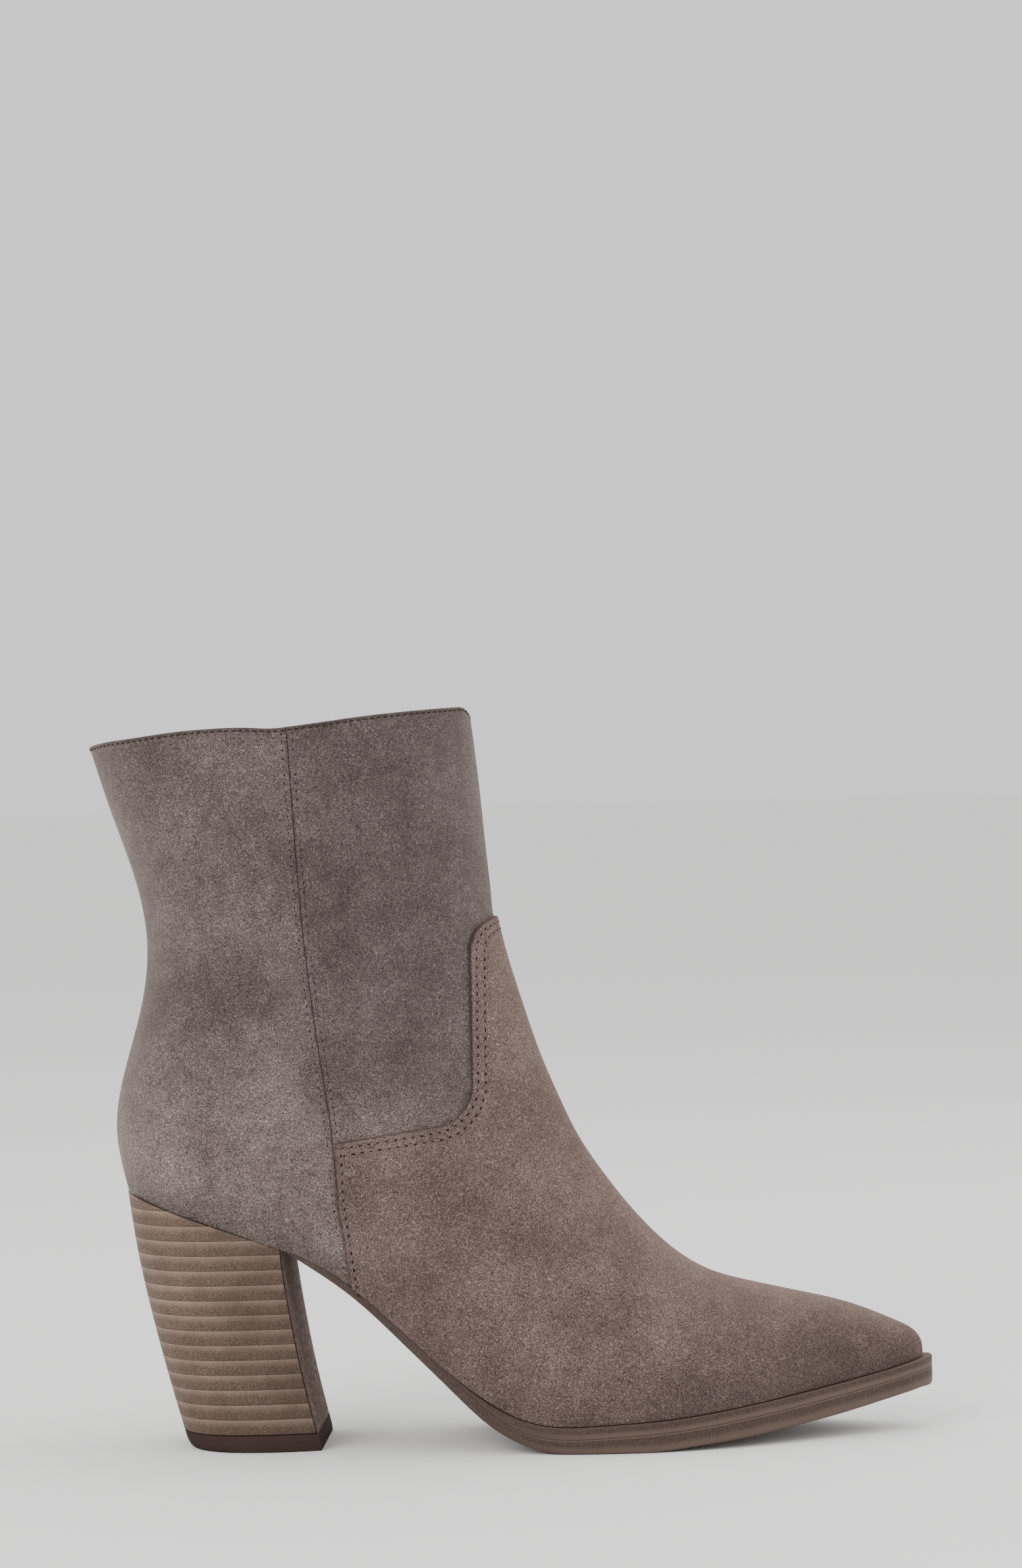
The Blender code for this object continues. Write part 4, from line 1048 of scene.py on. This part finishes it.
def sewn_row(name, tree, paths, sizes, finish):
    """Runs a sewing tree along paths, each a list of points and of outward directions, and puts
    the plain mesh that it makes into the scene."""
    points = np.concatenate([path[0] for path in paths])
    out = np.concatenate([path[1] for path in paths])
    edges, first = [], 0
    for path, _ in paths:
        edges += [(i, i + 1) for i in range(first, first + len(path) - 1)]
        first += len(path)
    guide_mesh = bpy.data.meshes.new(name + "_path")
    guide_mesh.from_pydata((points * MM).tolist(), edges, [])
    outward = guide_mesh.attributes.new("out", "FLOAT_VECTOR", "POINT")
    outward.data.foreach_set("vector", out.ravel())
    guide = new_object(name + "_path", guide_mesh)
    modifier = guide.modifiers.new("sewing", "NODES")
    modifier.node_group = tree
    identifiers = {item.name: item.identifier for item in tree.interface.items_tree}
    for size, value in sizes.items():
        modifier[identifiers[size]] = value * MM
    modifier[identifiers["Finish"]] = finish
    view = bpy.context.evaluated_depsgraph_get()
    mesh = bpy.data.meshes.new_from_object(guide.evaluated_get(view))
    mesh.name = name
    guide.modifiers.remove(modifier)
    bpy.data.objects.remove(guide)
    mesh.shade_smooth()
    add_piece(name, mesh, ())


# The upper, its lining and its seams

def seam_x(z):
    heights, places = zip(*SEAM)
    return natural_spline(heights, places, z)[:, 0]


def waist_lap(x):
    """How far the suede's lower edge is drawn down to the sole at the waist."""
    return WAIST_LAP * (1 - smooth_step(WAIST_LAP_FULL, WAIST_LAP_END, x))


def lap_seat(face):
    """Draws a face's lower edge down to the sole at the waist, and over the sole's thin tail on the
    heel seat."""
    point, normal = seat_plane()
    for edge in (face[CLOSED_ROWS - 1 :, 0], face[CLOSED_ROWS - 1 :, -1]):
        seat = point[2] - (edge[:, 0] - point[0]) * normal[0] / normal[2]
        lap = np.maximum(0.0, edge[:, 2] - seat - SEAT_GAP)
        lap = lap * smooth_step(-SEAT_LAP_FROM, -SEAT_LAP_FULL, -edge[:, 0])
        edge[:, 2] -= np.maximum(lap, waist_lap(edge[:, 0]))
    return face


def make_upper(finish):
    """The suede shaft and quarters, one wall with a rounded, folded topline."""
    base = lap_seat(moved_out(LAST, 0.0, CLOSED_ROWS))
    normal = normals(LAST, CLOSED_ROWS)
    below = UPPER_ROWS[0] + run_down(base)
    swell = FOLD_SWELL * (1 - smooth_step(FOLD_FULL * FOLD_WIDTH, FOLD_WIDTH, below))
    outer = base + normal * swell[:, :, None]
    inner = lap_seat(moved_out(LAST, -SUEDE, CLOSED_ROWS))
    up = base[0] - base[1]
    up /= np.linalg.norm(up, axis=1)[:, None]
    radius = (SUEDE + FOLD_SWELL) / 2
    rims = []
    for face_turn in (0.0, math.pi):
        turns = np.linspace(math.pi / 2, face_turn, RIM_STEPS + 1)[:-1]
        rims.append(np.array([
            outer[0] - normal[0] * radius * (1 - math.cos(turn)) + up * radius * math.sin(turn)
            for turn in turns
        ]))
    outer = np.concatenate([rims[0], outer])
    inner = np.concatenate([rims[1], inner])
    below = np.concatenate([np.zeros((RIM_STEPS, below.shape[1])), below])
    seam = outer[:, :, 0] - seam_x(outer[:, :, 2].ravel()).reshape(outer.shape[:2])
    above = outer[:, :, 2] - feather_height(outer[:, :, 0])
    values = {"seam": seam, "topline": below, "above_sole": above}
    mesh = wall_mesh("upper_suede", outer, inner, CLOSED_ROWS + RIM_STEPS, **values)
    add_piece("upper_suede", mesh, [finish], ["upper"])


def make_lining(finish):
    """The leather lining against the inside of the suede, ending just below the fold."""
    first = int(np.searchsorted(UPPER_ROWS, FOLD_WIDTH))
    closed = CLOSED_ROWS - first
    outer = moved_out(LAST, -SUEDE - TOUCH, CLOSED_ROWS)[first:]
    inner = moved_out(LAST, -SUEDE - TOUCH - LINING, CLOSED_ROWS)[first:]
    mesh = wall_mesh("lining", outer, inner, closed)
    add_piece("lining", mesh, [finish])


def path_on_grid(points, normal, distance, lift):
    """A path across a grid at a distance below its first row, lifted off the surface."""
    run = run_down(points)
    spot, out = (
        np.array([[np.interp(distance, run[:, column], grid[:, column, axis]) for axis in range(3)]
                  for column in range(grid.shape[1])])
        for grid in (points, normal)
    )
    return spot + out * lift, out


def surface_out(place, share, side):
    """Outward directions of the upper at single places."""
    step_place, step_share = 0.4, 0.004
    along = surface(place + step_place, share, side) - surface(place - step_place, share, side)
    low, high = np.maximum(share - step_share, 0.0), np.minimum(share + step_share, 1.0)
    across = surface(place, high, side) - surface(place, low, side)
    out = side * np.cross(across, along)
    return out / np.linalg.norm(out, axis=1)[:, None]


def seam_path(offset, side, lowest):
    """A path on the upper beside the side seam, down to a lowest height."""
    place = np.arange(SEAM_FROM, TOE_EDGE, SEAM_STEP)
    share = np.linspace(0.0, 1.0, SEAM_SAMPLES)
    points = surface(place[:, None], share, side)
    beside = points[:, :, 0] - seam_x(points[:, :, 2].ravel()).reshape(points.shape[:2]) - offset
    crosses = (beside[:, 0] < 0) & (beside[:, -1] > 0)
    place, beside = place[crosses], beside[crosses]
    after = np.argmax(beside > 0, axis=1)
    index = np.arange(len(place))
    gap_a, gap_b = beside[index, after - 1], beside[index, after]
    crossing = share[after - 1] + (share[after] - share[after - 1]) * gap_a / (gap_a - gap_b)
    path = surface(place, crossing, side)
    keep = path[:, 2] > lowest
    return path[keep], surface_out(place[keep], crossing[keep], side)


# The vamp

def rounded_outline(corners):
    """Side-view points of an outline, with an arc at each corner that has a radius."""
    points = []
    count = len(corners)
    for i, corner in enumerate(corners):
        here = np.array([corner.x, corner.z])
        if corner.radius == 0:
            points.append(here)
            continue
        before = np.array([corners[i - 1].x, corners[i - 1].z]) - here
        after = np.array([corners[(i + 1) % count].x, corners[(i + 1) % count].z]) - here
        before /= np.linalg.norm(before)
        after /= np.linalg.norm(after)
        half = math.acos(float(np.clip(before @ after, -1, 1))) / 2
        reach = corner.radius / math.tan(half)
        middle = (before + after) / np.linalg.norm(before + after)
        centre = here + middle * corner.radius / math.sin(half)
        start = here + before * reach - centre
        end = here + after * reach - centre
        for k in range(CORNER_STEPS + 1):
            share = k / CORNER_STEPS
            spoke = start * (1 - share) + end * share
            points.append(centre + spoke * corner.radius / np.linalg.norm(spoke))
    return np.array(points)


def inside_by(x, z, outline):
    """How far side-view points lie inside an outline; points outside it are negative."""
    shape, spot = x.shape, np.stack([x.ravel(), z.ravel()], axis=1)
    nearest = np.full(len(spot), np.inf)
    inside = np.zeros(len(spot), bool)
    for a, b in zip(outline, np.roll(outline, -1, axis=0)):
        edge = b - a
        share = np.clip((spot - a) @ edge / (edge @ edge), 0.0, 1.0)
        nearest = np.minimum(nearest, np.linalg.norm(spot - a - share[:, None] * edge, axis=1))
        spans = (a[1] > spot[:, 1]) != (b[1] > spot[:, 1])
        if edge[1]:
            inside ^= spans & (spot[:, 0] < a[0] + edge[0] * (spot[:, 1] - a[1]) / edge[1])
    return np.where(inside, nearest, -nearest).reshape(shape)


def vamp_places(side):
    """Places along the boot of the vamp's rows, for each column from the feather to the ridge:
    first rows at set distances in from the cut edge, then even ones out to the toe."""
    place = np.linspace(HEEL_EDGE - VAMP_SEARCH_BACK, TOE_EDGE, VAMP_SEARCH_STEPS)
    points = surface(place[:, None], COLUMN_SHARES, side)
    x, z = points[:, :, 0], points[:, :, 2]
    inside = inside_by(x, z, rounded_outline(VAMP_OUTLINE))
    inside += EDGE_WANDER * np.prod([np.sin(along * x + up * z) for along, up in EDGE_WAVES], axis=0)
    columns = []
    for column in inside.T:
        rows = []
        for level in EDGE_LEVELS:
            last = np.flatnonzero(column < level)[-1]
            share = (level - column[last]) / (column[last + 1] - column[last])
            rows.append(place[last] + share * (place[last + 1] - place[last]))
        still_to_go = 1 - np.linspace(0.0, 1.0, VAMP_ROWS + 1)[1:]
        rest = TOE_EDGE - (TOE_EDGE - rows[-1]) * still_to_go**CLOSER_AT_TOE
        columns.append(np.concatenate([rows, rest]))
    return np.array(columns).T


def make_vamp(grid, finish):
    """The raised vamp over the upper's face, whose rows follow the vamp's cut edge. The edge is
    rounded, pressed in a little along the two sewn rows, and drawn down to the sole at the waist."""
    even_rows = len(grid) - len(EDGE_LEVELS)
    depth = np.concatenate([EDGE_LEVELS, np.full(even_rows, WELL_INSIDE)])[:, None]
    into_round = 1 - np.minimum(depth / EDGE_ROUND, 1.0)
    rounding = EDGE_LEAST + (1 - EDGE_LEAST) * np.sqrt(1 - into_round**2)
    second = smooth_step(SECOND_ROW_LOWEST - SECOND_ROW_FADE, SECOND_ROW_LOWEST, grid[:, :, 2])
    pressed = np.exp(-(((depth - FIRST_ROW) / DIMPLE_WIDTH) ** 2))
    pressed = pressed + second * np.exp(-(((depth - SECOND_ROW) / DIMPLE_WIDTH) ** 2))
    height = VAMP_FACE * rounding - SEWN_DIMPLE * pressed
    outer = moved_out(grid, height[:, :, None])
    for edge in (outer[:, 0], outer[:, -1]):
        edge[:, 2] -= waist_lap(edge[:, 0])
    inner = moved_out(grid, TOUCH)
    cut = np.broadcast_to(depth, outer.shape[:2])
    above_sole = outer[:, :, 2] - feather_height(outer[:, :, 0])
    mesh = wall_mesh("vamp_suede", outer, inner, cut=cut, above_sole=above_sole)
    add_piece("vamp_suede", mesh, [finish], ["vamp"])


def vamp_paths(grid):
    """The vamp's sewn rows: one all along its cut edge, one more above the quarter seam."""
    normal = normals(grid)
    face = grid + normal * VAMP_FACE
    first, second = EDGE_LEVELS.index(FIRST_ROW), EDGE_LEVELS.index(SECOND_ROW)
    above = face[second, :, 2] > SECOND_ROW_LOWEST
    row, out = face[second][above], normal[second][above]
    ends = [row[0] - row[2], row[-1] - row[-3]]
    ends = [end * SECOND_ROW_RUN_ON / np.linalg.norm(end) for end in ends]
    row = np.concatenate([row[:1] + ends[0], row, row[-1:] + ends[1]])
    out = np.concatenate([out[:1], out, out[-1:]])
    return [(face[first], normal[first]), (row, out)]


# The sole

def offset_in_plan(points, amounts):
    """Moves an edge line outwards in plan, by an amount for each point."""
    flow = np.gradient(points[:, :2], axis=0)
    side = np.where(points[len(points) // 2, 1] < 0, 1.0, -1.0)
    normal = np.stack([flow[:, 1], -flow[:, 0]], axis=1) * side
    normal[0] = (-1.0, 0.0)
    normal[-1] = (1.0, 0.0)
    normal /= np.linalg.norm(normal, axis=1)[:, None]
    moved = points.copy()
    moved[:, :2] += normal * np.asarray(amounts)[:, None]
    return moved


def sole_curve(x):
    """Underside height and edge extension of the sole at places along the boot."""
    places = [station.x for station in SOLE_STATIONS]
    drawn = [(station.bottom, station.extension) for station in SOLE_STATIONS]
    read = natural_spline(places, drawn, np.clip(x, places[0], places[-1]))
    read[:, 0] = np.maximum(read[:, 0], 0.0)
    flat = (x >= FLAT_SPOT[0]) & (x <= FLAT_SPOT[1])
    read[flat, 0] = 0.0
    return read


def sole_outward(x):
    """How far the sole's edge stands out from the upper; on the heel seat it is set in."""
    onto_seat = np.clip((SOLE_STATIONS[0].x + SEAT_RAMP - x) / SEAT_RAMP, 0.0, 1.0)
    return sole_curve(x)[:, 1] * (1 - onto_seat) - SEAT_INSET * onto_seat


def sole_edges():
    """The feather line with the places put in where a sole layer starts, steps or lies flat."""
    breast_x = SOLE_STATIONS[0].x
    step_x = MIDSOLE_BACK_X - TOUCH
    step = [step_x - 2 * MIDSOLE_BACK_THICKNESS, step_x, MIDSOLE_BACK_X]
    places = [breast_x, breast_x + SEAT_RAMP, *step, *FLAT_SPOT]
    fuller = []
    for line in FEATHER:
        x = np.sort(np.concatenate([line[:, 0], places]))
        fuller.append(np.stack([np.interp(x, line[:, 0], line[:, i]) for i in range(3)], axis=1))
    return fuller


def midsole_share(x):
    """How thick the midsole is along the boot: next to nothing at the waist, full at the ball."""
    eased = smooth_step(MIDSOLE_BACK_X, MIDSOLE_FULL_X, x)
    return MIDSOLE_BACK_THICKNESS + (MIDSOLE_THICKNESS - MIDSOLE_BACK_THICKNESS) * eased


def edge_rings(back_x, layer, profile):
    """Rings of a sole layer in front of back_x, following its side profile from top to bottom."""
    edges = sole_edges()
    keep = edges[0][:, 0] >= back_x
    rings = []
    for step in profile:
        lines = []
        for line in edges:
            station = line[:, 0]
            forepart = smooth_step(MIDSOLE_BACK_X, MIDSOLE_FULL_X, station)
            broken = WAIST_BREAK + (1 - WAIST_BREAK) * forepart
            ring = offset_in_plan(line, sole_outward(station) - step.inset * broken)
            top, bottom = layer(station, ring[:, 0], feather_height(ring[:, 0]))
            ring[:, 2] = bottom + (top - bottom) * step.height
            lines.append(ring[keep])
        rings.append(lines)
    return rings


def make_midsole(finish):
    """The upper layer of the sole edge, from the waist to the toe, with its top edge broken."""

    def layer(station, x, feather):
        return feather - GAP, feather - GAP - midsole_share(x)

    shares = [step.height for step in MIDSOLE_EDGE]
    mesh = slab_mesh("midsole_edge", edge_rings(MIDSOLE_BACK_X, layer, MIDSOLE_EDGE), shares)
    add_piece("midsole_edge", mesh, [finish], ["midsole"])


def make_outsole(finish, underside):
    """The full-length outsole: thin tail on the heel seat, thin waist, thick forepart."""

    def layer(station, x, feather):
        above = np.where(station >= MIDSOLE_BACK_X - TOUCH, midsole_share(x) + TOUCH, 0.0)
        on_seat = station <= SOLE_STATIONS[0].x
        tail_bottom = feather - GAP - SEAT_THICKNESS
        return feather - GAP - above, np.where(on_seat, tail_bottom, sole_curve(x)[:, 0])

    shares = [step.height for step in OUTSOLE_EDGE]
    mesh = slab_mesh("outsole_edge", edge_rings(SEAT_TAIL_BACK_X, layer, OUTSOLE_EDGE), shares)
    piece = add_piece("outsole_edge", mesh, [finish, underside], ["outsole"])
    add_second_finish(piece, max, UNDERSIDE_SHARE)


def make_insole(finish):
    """The sock on the inside, its edge rolled down against the lining."""
    rings = []
    for step in INSOLE_EDGE:
        lift = np.array([0.0, 0.0, step.height])
        inset = -INSOLE_INSET - step.inset
        rings.append([offset_in_plan(line, np.full(len(line), inset)) + lift for line in FEATHER])
    x = rings[-1][0][:, 0]
    keep = (x > INSOLE_BACK_X) & (x < INSOLE_FRONT_X)
    rings = [[line[keep] for line in ring] for ring in rings]
    mesh = slab_mesh("sock", rings, [step.height for step in INSOLE_EDGE])
    add_piece("sock", mesh, [finish], ["insole"])


# The heel

def heel_level(z):
    """Size of the heel's outline at a height."""
    drawn = [level[1:] for level in HEEL_LEVELS]
    return HeelLevel(z, *natural_spline([level.z for level in HEEL_LEVELS], drawn, z)[0])


def heel_outline(z, inset=0.0, back_inset=0.0, breast_inset=0.0):
    """Outer and inner edge lines of the heel at a height, from its back to its breast, whose
    inner corner lies further forward."""
    level = heel_level(z)
    back = level.back_x + back_inset
    turn = np.linspace(0.0, math.pi / 2, HEEL_ROUND_STEPS + 1)
    x = back + level.round_length * (1 - np.maximum(np.cos(turn), 0.0) ** (2 / level.square))
    y = (level.half_width - inset) * np.sin(turn) ** (2 / level.square)
    side = np.linspace(0.0, 1.0, HEEL_SIDE_STEPS + 1)[1:]
    breast = level.breast_x - breast_inset
    x = np.concatenate([x, x[-1] + (breast - x[-1]) * side])
    narrowing = 1 - (1 - level.breast_share) * side**2
    y = np.concatenate([y, (level.half_width - inset) * narrowing])
    height = np.full(len(x), z)
    inner_x = x + BREAST_SKEW * np.clip((x - back) / (breast - back), 0.0, 1.0) ** 2
    return np.stack([x, -y, height], axis=1), np.stack([inner_x, y, height], axis=1)


def seat_plane():
    """Point and upward normal of the heel seat, just under the sole's tail."""
    back_x, front_x = SEAT_TAIL_BACK_X, SOLE_STATIONS[0].x
    back_z, front_z = feather_height(back_x), feather_height(front_x)
    drop = GAP + SEAT_THICKNESS + TOUCH
    normal = np.array([back_z - front_z, 0.0, front_x - back_x])
    return np.array([back_x, 0.0, back_z - drop]), normal / np.linalg.norm(normal)


def lift_stack():
    """Height of the lowest lift's underside, and the pitch of the stack."""
    low = TOP_LIFT_THICKNESS + GAP
    return low, (seat_plane()[0][2] - low) / LIFT_COUNT


def make_heel_lifts(finish):
    """The leather lifts, flush with each other, the upper ones pared to the heel seat."""
    point, normal = seat_plane()
    low, pitch = lift_stack()
    for number in range(LIFT_COUNT):
        bottom = low + number * pitch
        top = bottom + pitch - LIFT_SEAM
        broken = LIFT_CHAMFER
        levels = ((top, broken), (top - broken, 0.0), (bottom + broken, 0.0), (bottom, broken))
        rings = [heel_outline(z, inset, inset, BREAST_COVER + TOUCH) for z, inset in levels]
        name = f"stack_lift_{number + 1:02d}"
        mesh = slab_mesh(name, rings, LIFT_SHARES)
        cut_above(mesh, point, normal)
        add_piece(name, mesh, [finish], [f"heel_lift_{number + 1:02d}"])


def make_heel_breast(finish, edge):
    """The smooth leather cover on the heel's front face, its edges broken."""
    point, normal = seat_plane()
    low = TOP_LIFT_THICKNESS + TOUCH
    rings = []
    for ring in BREAST_EDGE:
        pairs = [heel_outline(z, ring.side_inset, 0.0, ring.breast_inset)
                 for z in np.linspace(low, point[2], BREAST_STEPS)]
        rings.append([np.array([pair[k][-1] for pair in pairs]) for k in (0, 1)])
    mesh = slab_mesh("breast_cover", rings, [ring.share for ring in BREAST_EDGE])
    cut_above(mesh, point, normal)
    piece = add_piece("breast_cover", mesh, [finish, edge], ["heel_breast"])
    add_second_finish(piece, min, BREAST_FACE_SHARE)


def make_top_lift(finish):
    """The rubber top lift that meets the floor, its back corner rounded."""
    rings = [heel_outline(*ring) for ring in TOP_LIFT_EDGE]
    mesh = slab_mesh("rubber_top_lift", rings, [ring.height for ring in TOP_LIFT_EDGE])
    add_piece("rubber_top_lift", mesh, [finish], ["heel_top_lift"])


# The studio

def make_floor(finish):
    """A plain white paper floor, wide enough to reach the horizon."""
    corners = [(-1, -1), (1, -1), (1, 1), (-1, 1)]
    mesh = bpy.data.meshes.new("paper_floor")
    mesh.from_pydata([(FLOOR_HALF * x, FLOOR_HALF * y, 0) for x, y in corners], [], [(0, 1, 2, 3)])
    mesh.materials.append(finish)
    new_object("paper_floor", mesh)


def make_studio():
    """White surroundings with square soft boxes: high on the left, low on the right and overhead."""
    world = bpy.data.worlds.new("white_studio")
    world.use_nodes = True
    back = world.node_tree.nodes["Background"]
    set_inputs(world.node_tree, back, {"Color": linear("#ffffff"), "Strength": WORLD_LIGHT})
    bpy.context.scene.world = world
    for box in SOFT_BOXES:
        data = bpy.data.lights.new(box.name, "AREA")
        data.size = box.size
        data.energy = box.power
        light = new_object(box.name, data)
        light.location = box.place
        away = light.location - Vector(box.aim)
        light.rotation_euler = away.to_track_quat("Z", "Y").to_euler()


def make_camera():
    """The photograph's camera: level, a little above the middle of the boot, rolled a little."""
    data = bpy.data.cameras.new("photo_view")
    data.sensor_width = SENSOR
    data.lens = PIXELS_PER_MM * CAMERA_DISTANCE * SENSOR / max(PHOTO_SIZE)
    data.clip_start = NEAREST_SEEN * MM
    camera = new_object("photo_view", data)
    place = Matrix.Translation((CAMERA_X * MM, -CAMERA_DISTANCE * MM, CAMERA_Z * MM))
    level = Matrix.Rotation(math.radians(90), 4, "X")
    camera.matrix_world = place @ level @ Matrix.Rotation(math.radians(CAMERA_ROLL), 4, "Z")
    bpy.context.scene.camera = camera


def main():
    make_camera()
    make_studio()
    make_floor(white_paper("white_paper", "#fcfcfb", "#f7f7f6"))

    shaft_suede = suede("taupe_split_suede",
                        "#615652", "#574c48", "#4b413d", "#cdbfb8", shaft_finish)
    vamp_suede = suede("warm_taupe_split_suede",
                       "#665752", "#5d4e4a", "#524541", "#c0a594", vamp_finish)
    lining_leather = smooth_leather("lining_leather", "#b49f8a", "#a08a75", 0.6, 1.1, 14.0)
    sock_leather = smooth_leather("sock_leather", "#a8927c", "#947e69", 0.55, 0.9, 14.0)
    breast_leather = smooth_leather("breast_cover_leather", "#907f78", "#5f514a", 0.8, 0.7, 1.8)
    breast_edge = smooth_leather("stained_cover_edge", "#3a2f2a", "#2c231f", 0.8, 0.7, 1.8)
    # The last colour is the painted highlight along the top of each sole layer.
    edge_stain = burnished_edge("burnished_leatherboard", "#5a4a41", "#31261f", "#6e5d53")
    # 998877 is the painted highlight line along each lift's top.
    stack = stacked_leather("stacked_leather", "#917c6d", "#7d685b", "#43342b",
                            "#998877", "#3d312b", *lift_stack())
    rubber = moulded_rubber("dark_brown_rubber", "#403430", "#392e2a")
    underside = moulded_rubber("brown_sole_rubber", "#5d4c43", "#4c3d36")
    thread = sewing_thread("taupe_thread", "#716059", "#5f4f49", 0.2)
    # The topline's thread is painted dark as if sunk in shade, and the needle holes are dark slots
    # painted as the shade inside them.
    dark_thread = sewing_thread("shaded_thread", "#352b27", "#261e1b", 0.1)
    needle_hole_shade = sewing_thread("needle_hole_shadow", "#231b18", "#181210", 0.0)

    make_upper(shaft_suede)
    make_lining(lining_leather)
    grid = both_sides(vamp_places(OUTER), vamp_places(INNER))
    make_vamp(grid, vamp_suede)

    stitches, holes = stitch_tree(), hole_tree()
    vamp_rows = vamp_paths(grid)
    sewn_row("vamp_stitches", stitches, vamp_rows, VAMP_STITCH, thread)
    sewn_row("vamp_needle_holes", holes, vamp_rows, VAMP_HOLE, needle_hole_shade)

    seam_rows = []
    for side in (OUTER, INNER):
        seam_rows.append(seam_path(-SEAM_ROW_OFFSET, side, 0.0))
        seam_rows.append(seam_path(SEAM_ROW_OFFSET, side, SEAM_FRONT_LOWEST))
    sewn_row("seam_needle_holes", holes, seam_rows, SEAM_HOLE, needle_hole_shade)

    depth = FOLD_WIDTH - UPPER_ROWS[0]
    row, out = path_on_grid(LAST, normals(LAST, CLOSED_ROWS), depth, TOPLINE_LIFT)
    outer_part = slice(0, HALF_COLUMNS + 1 - FRONT_COLUMNS_FREE)
    inner_part = slice(HALF_COLUMNS + FRONT_COLUMNS_FREE, None)
    topline_rows = [(row[part], out[part]) for part in (outer_part, inner_part)]
    sewn_row("topline_stitches", stitches, topline_rows, TOPLINE_STITCH, dark_thread)

    make_midsole(edge_stain)
    make_outsole(edge_stain, underside)
    make_insole(sock_leather)
    make_heel_lifts(stack)
    make_heel_breast(breast_leather, breast_edge)
    make_top_lift(rubber)


main()
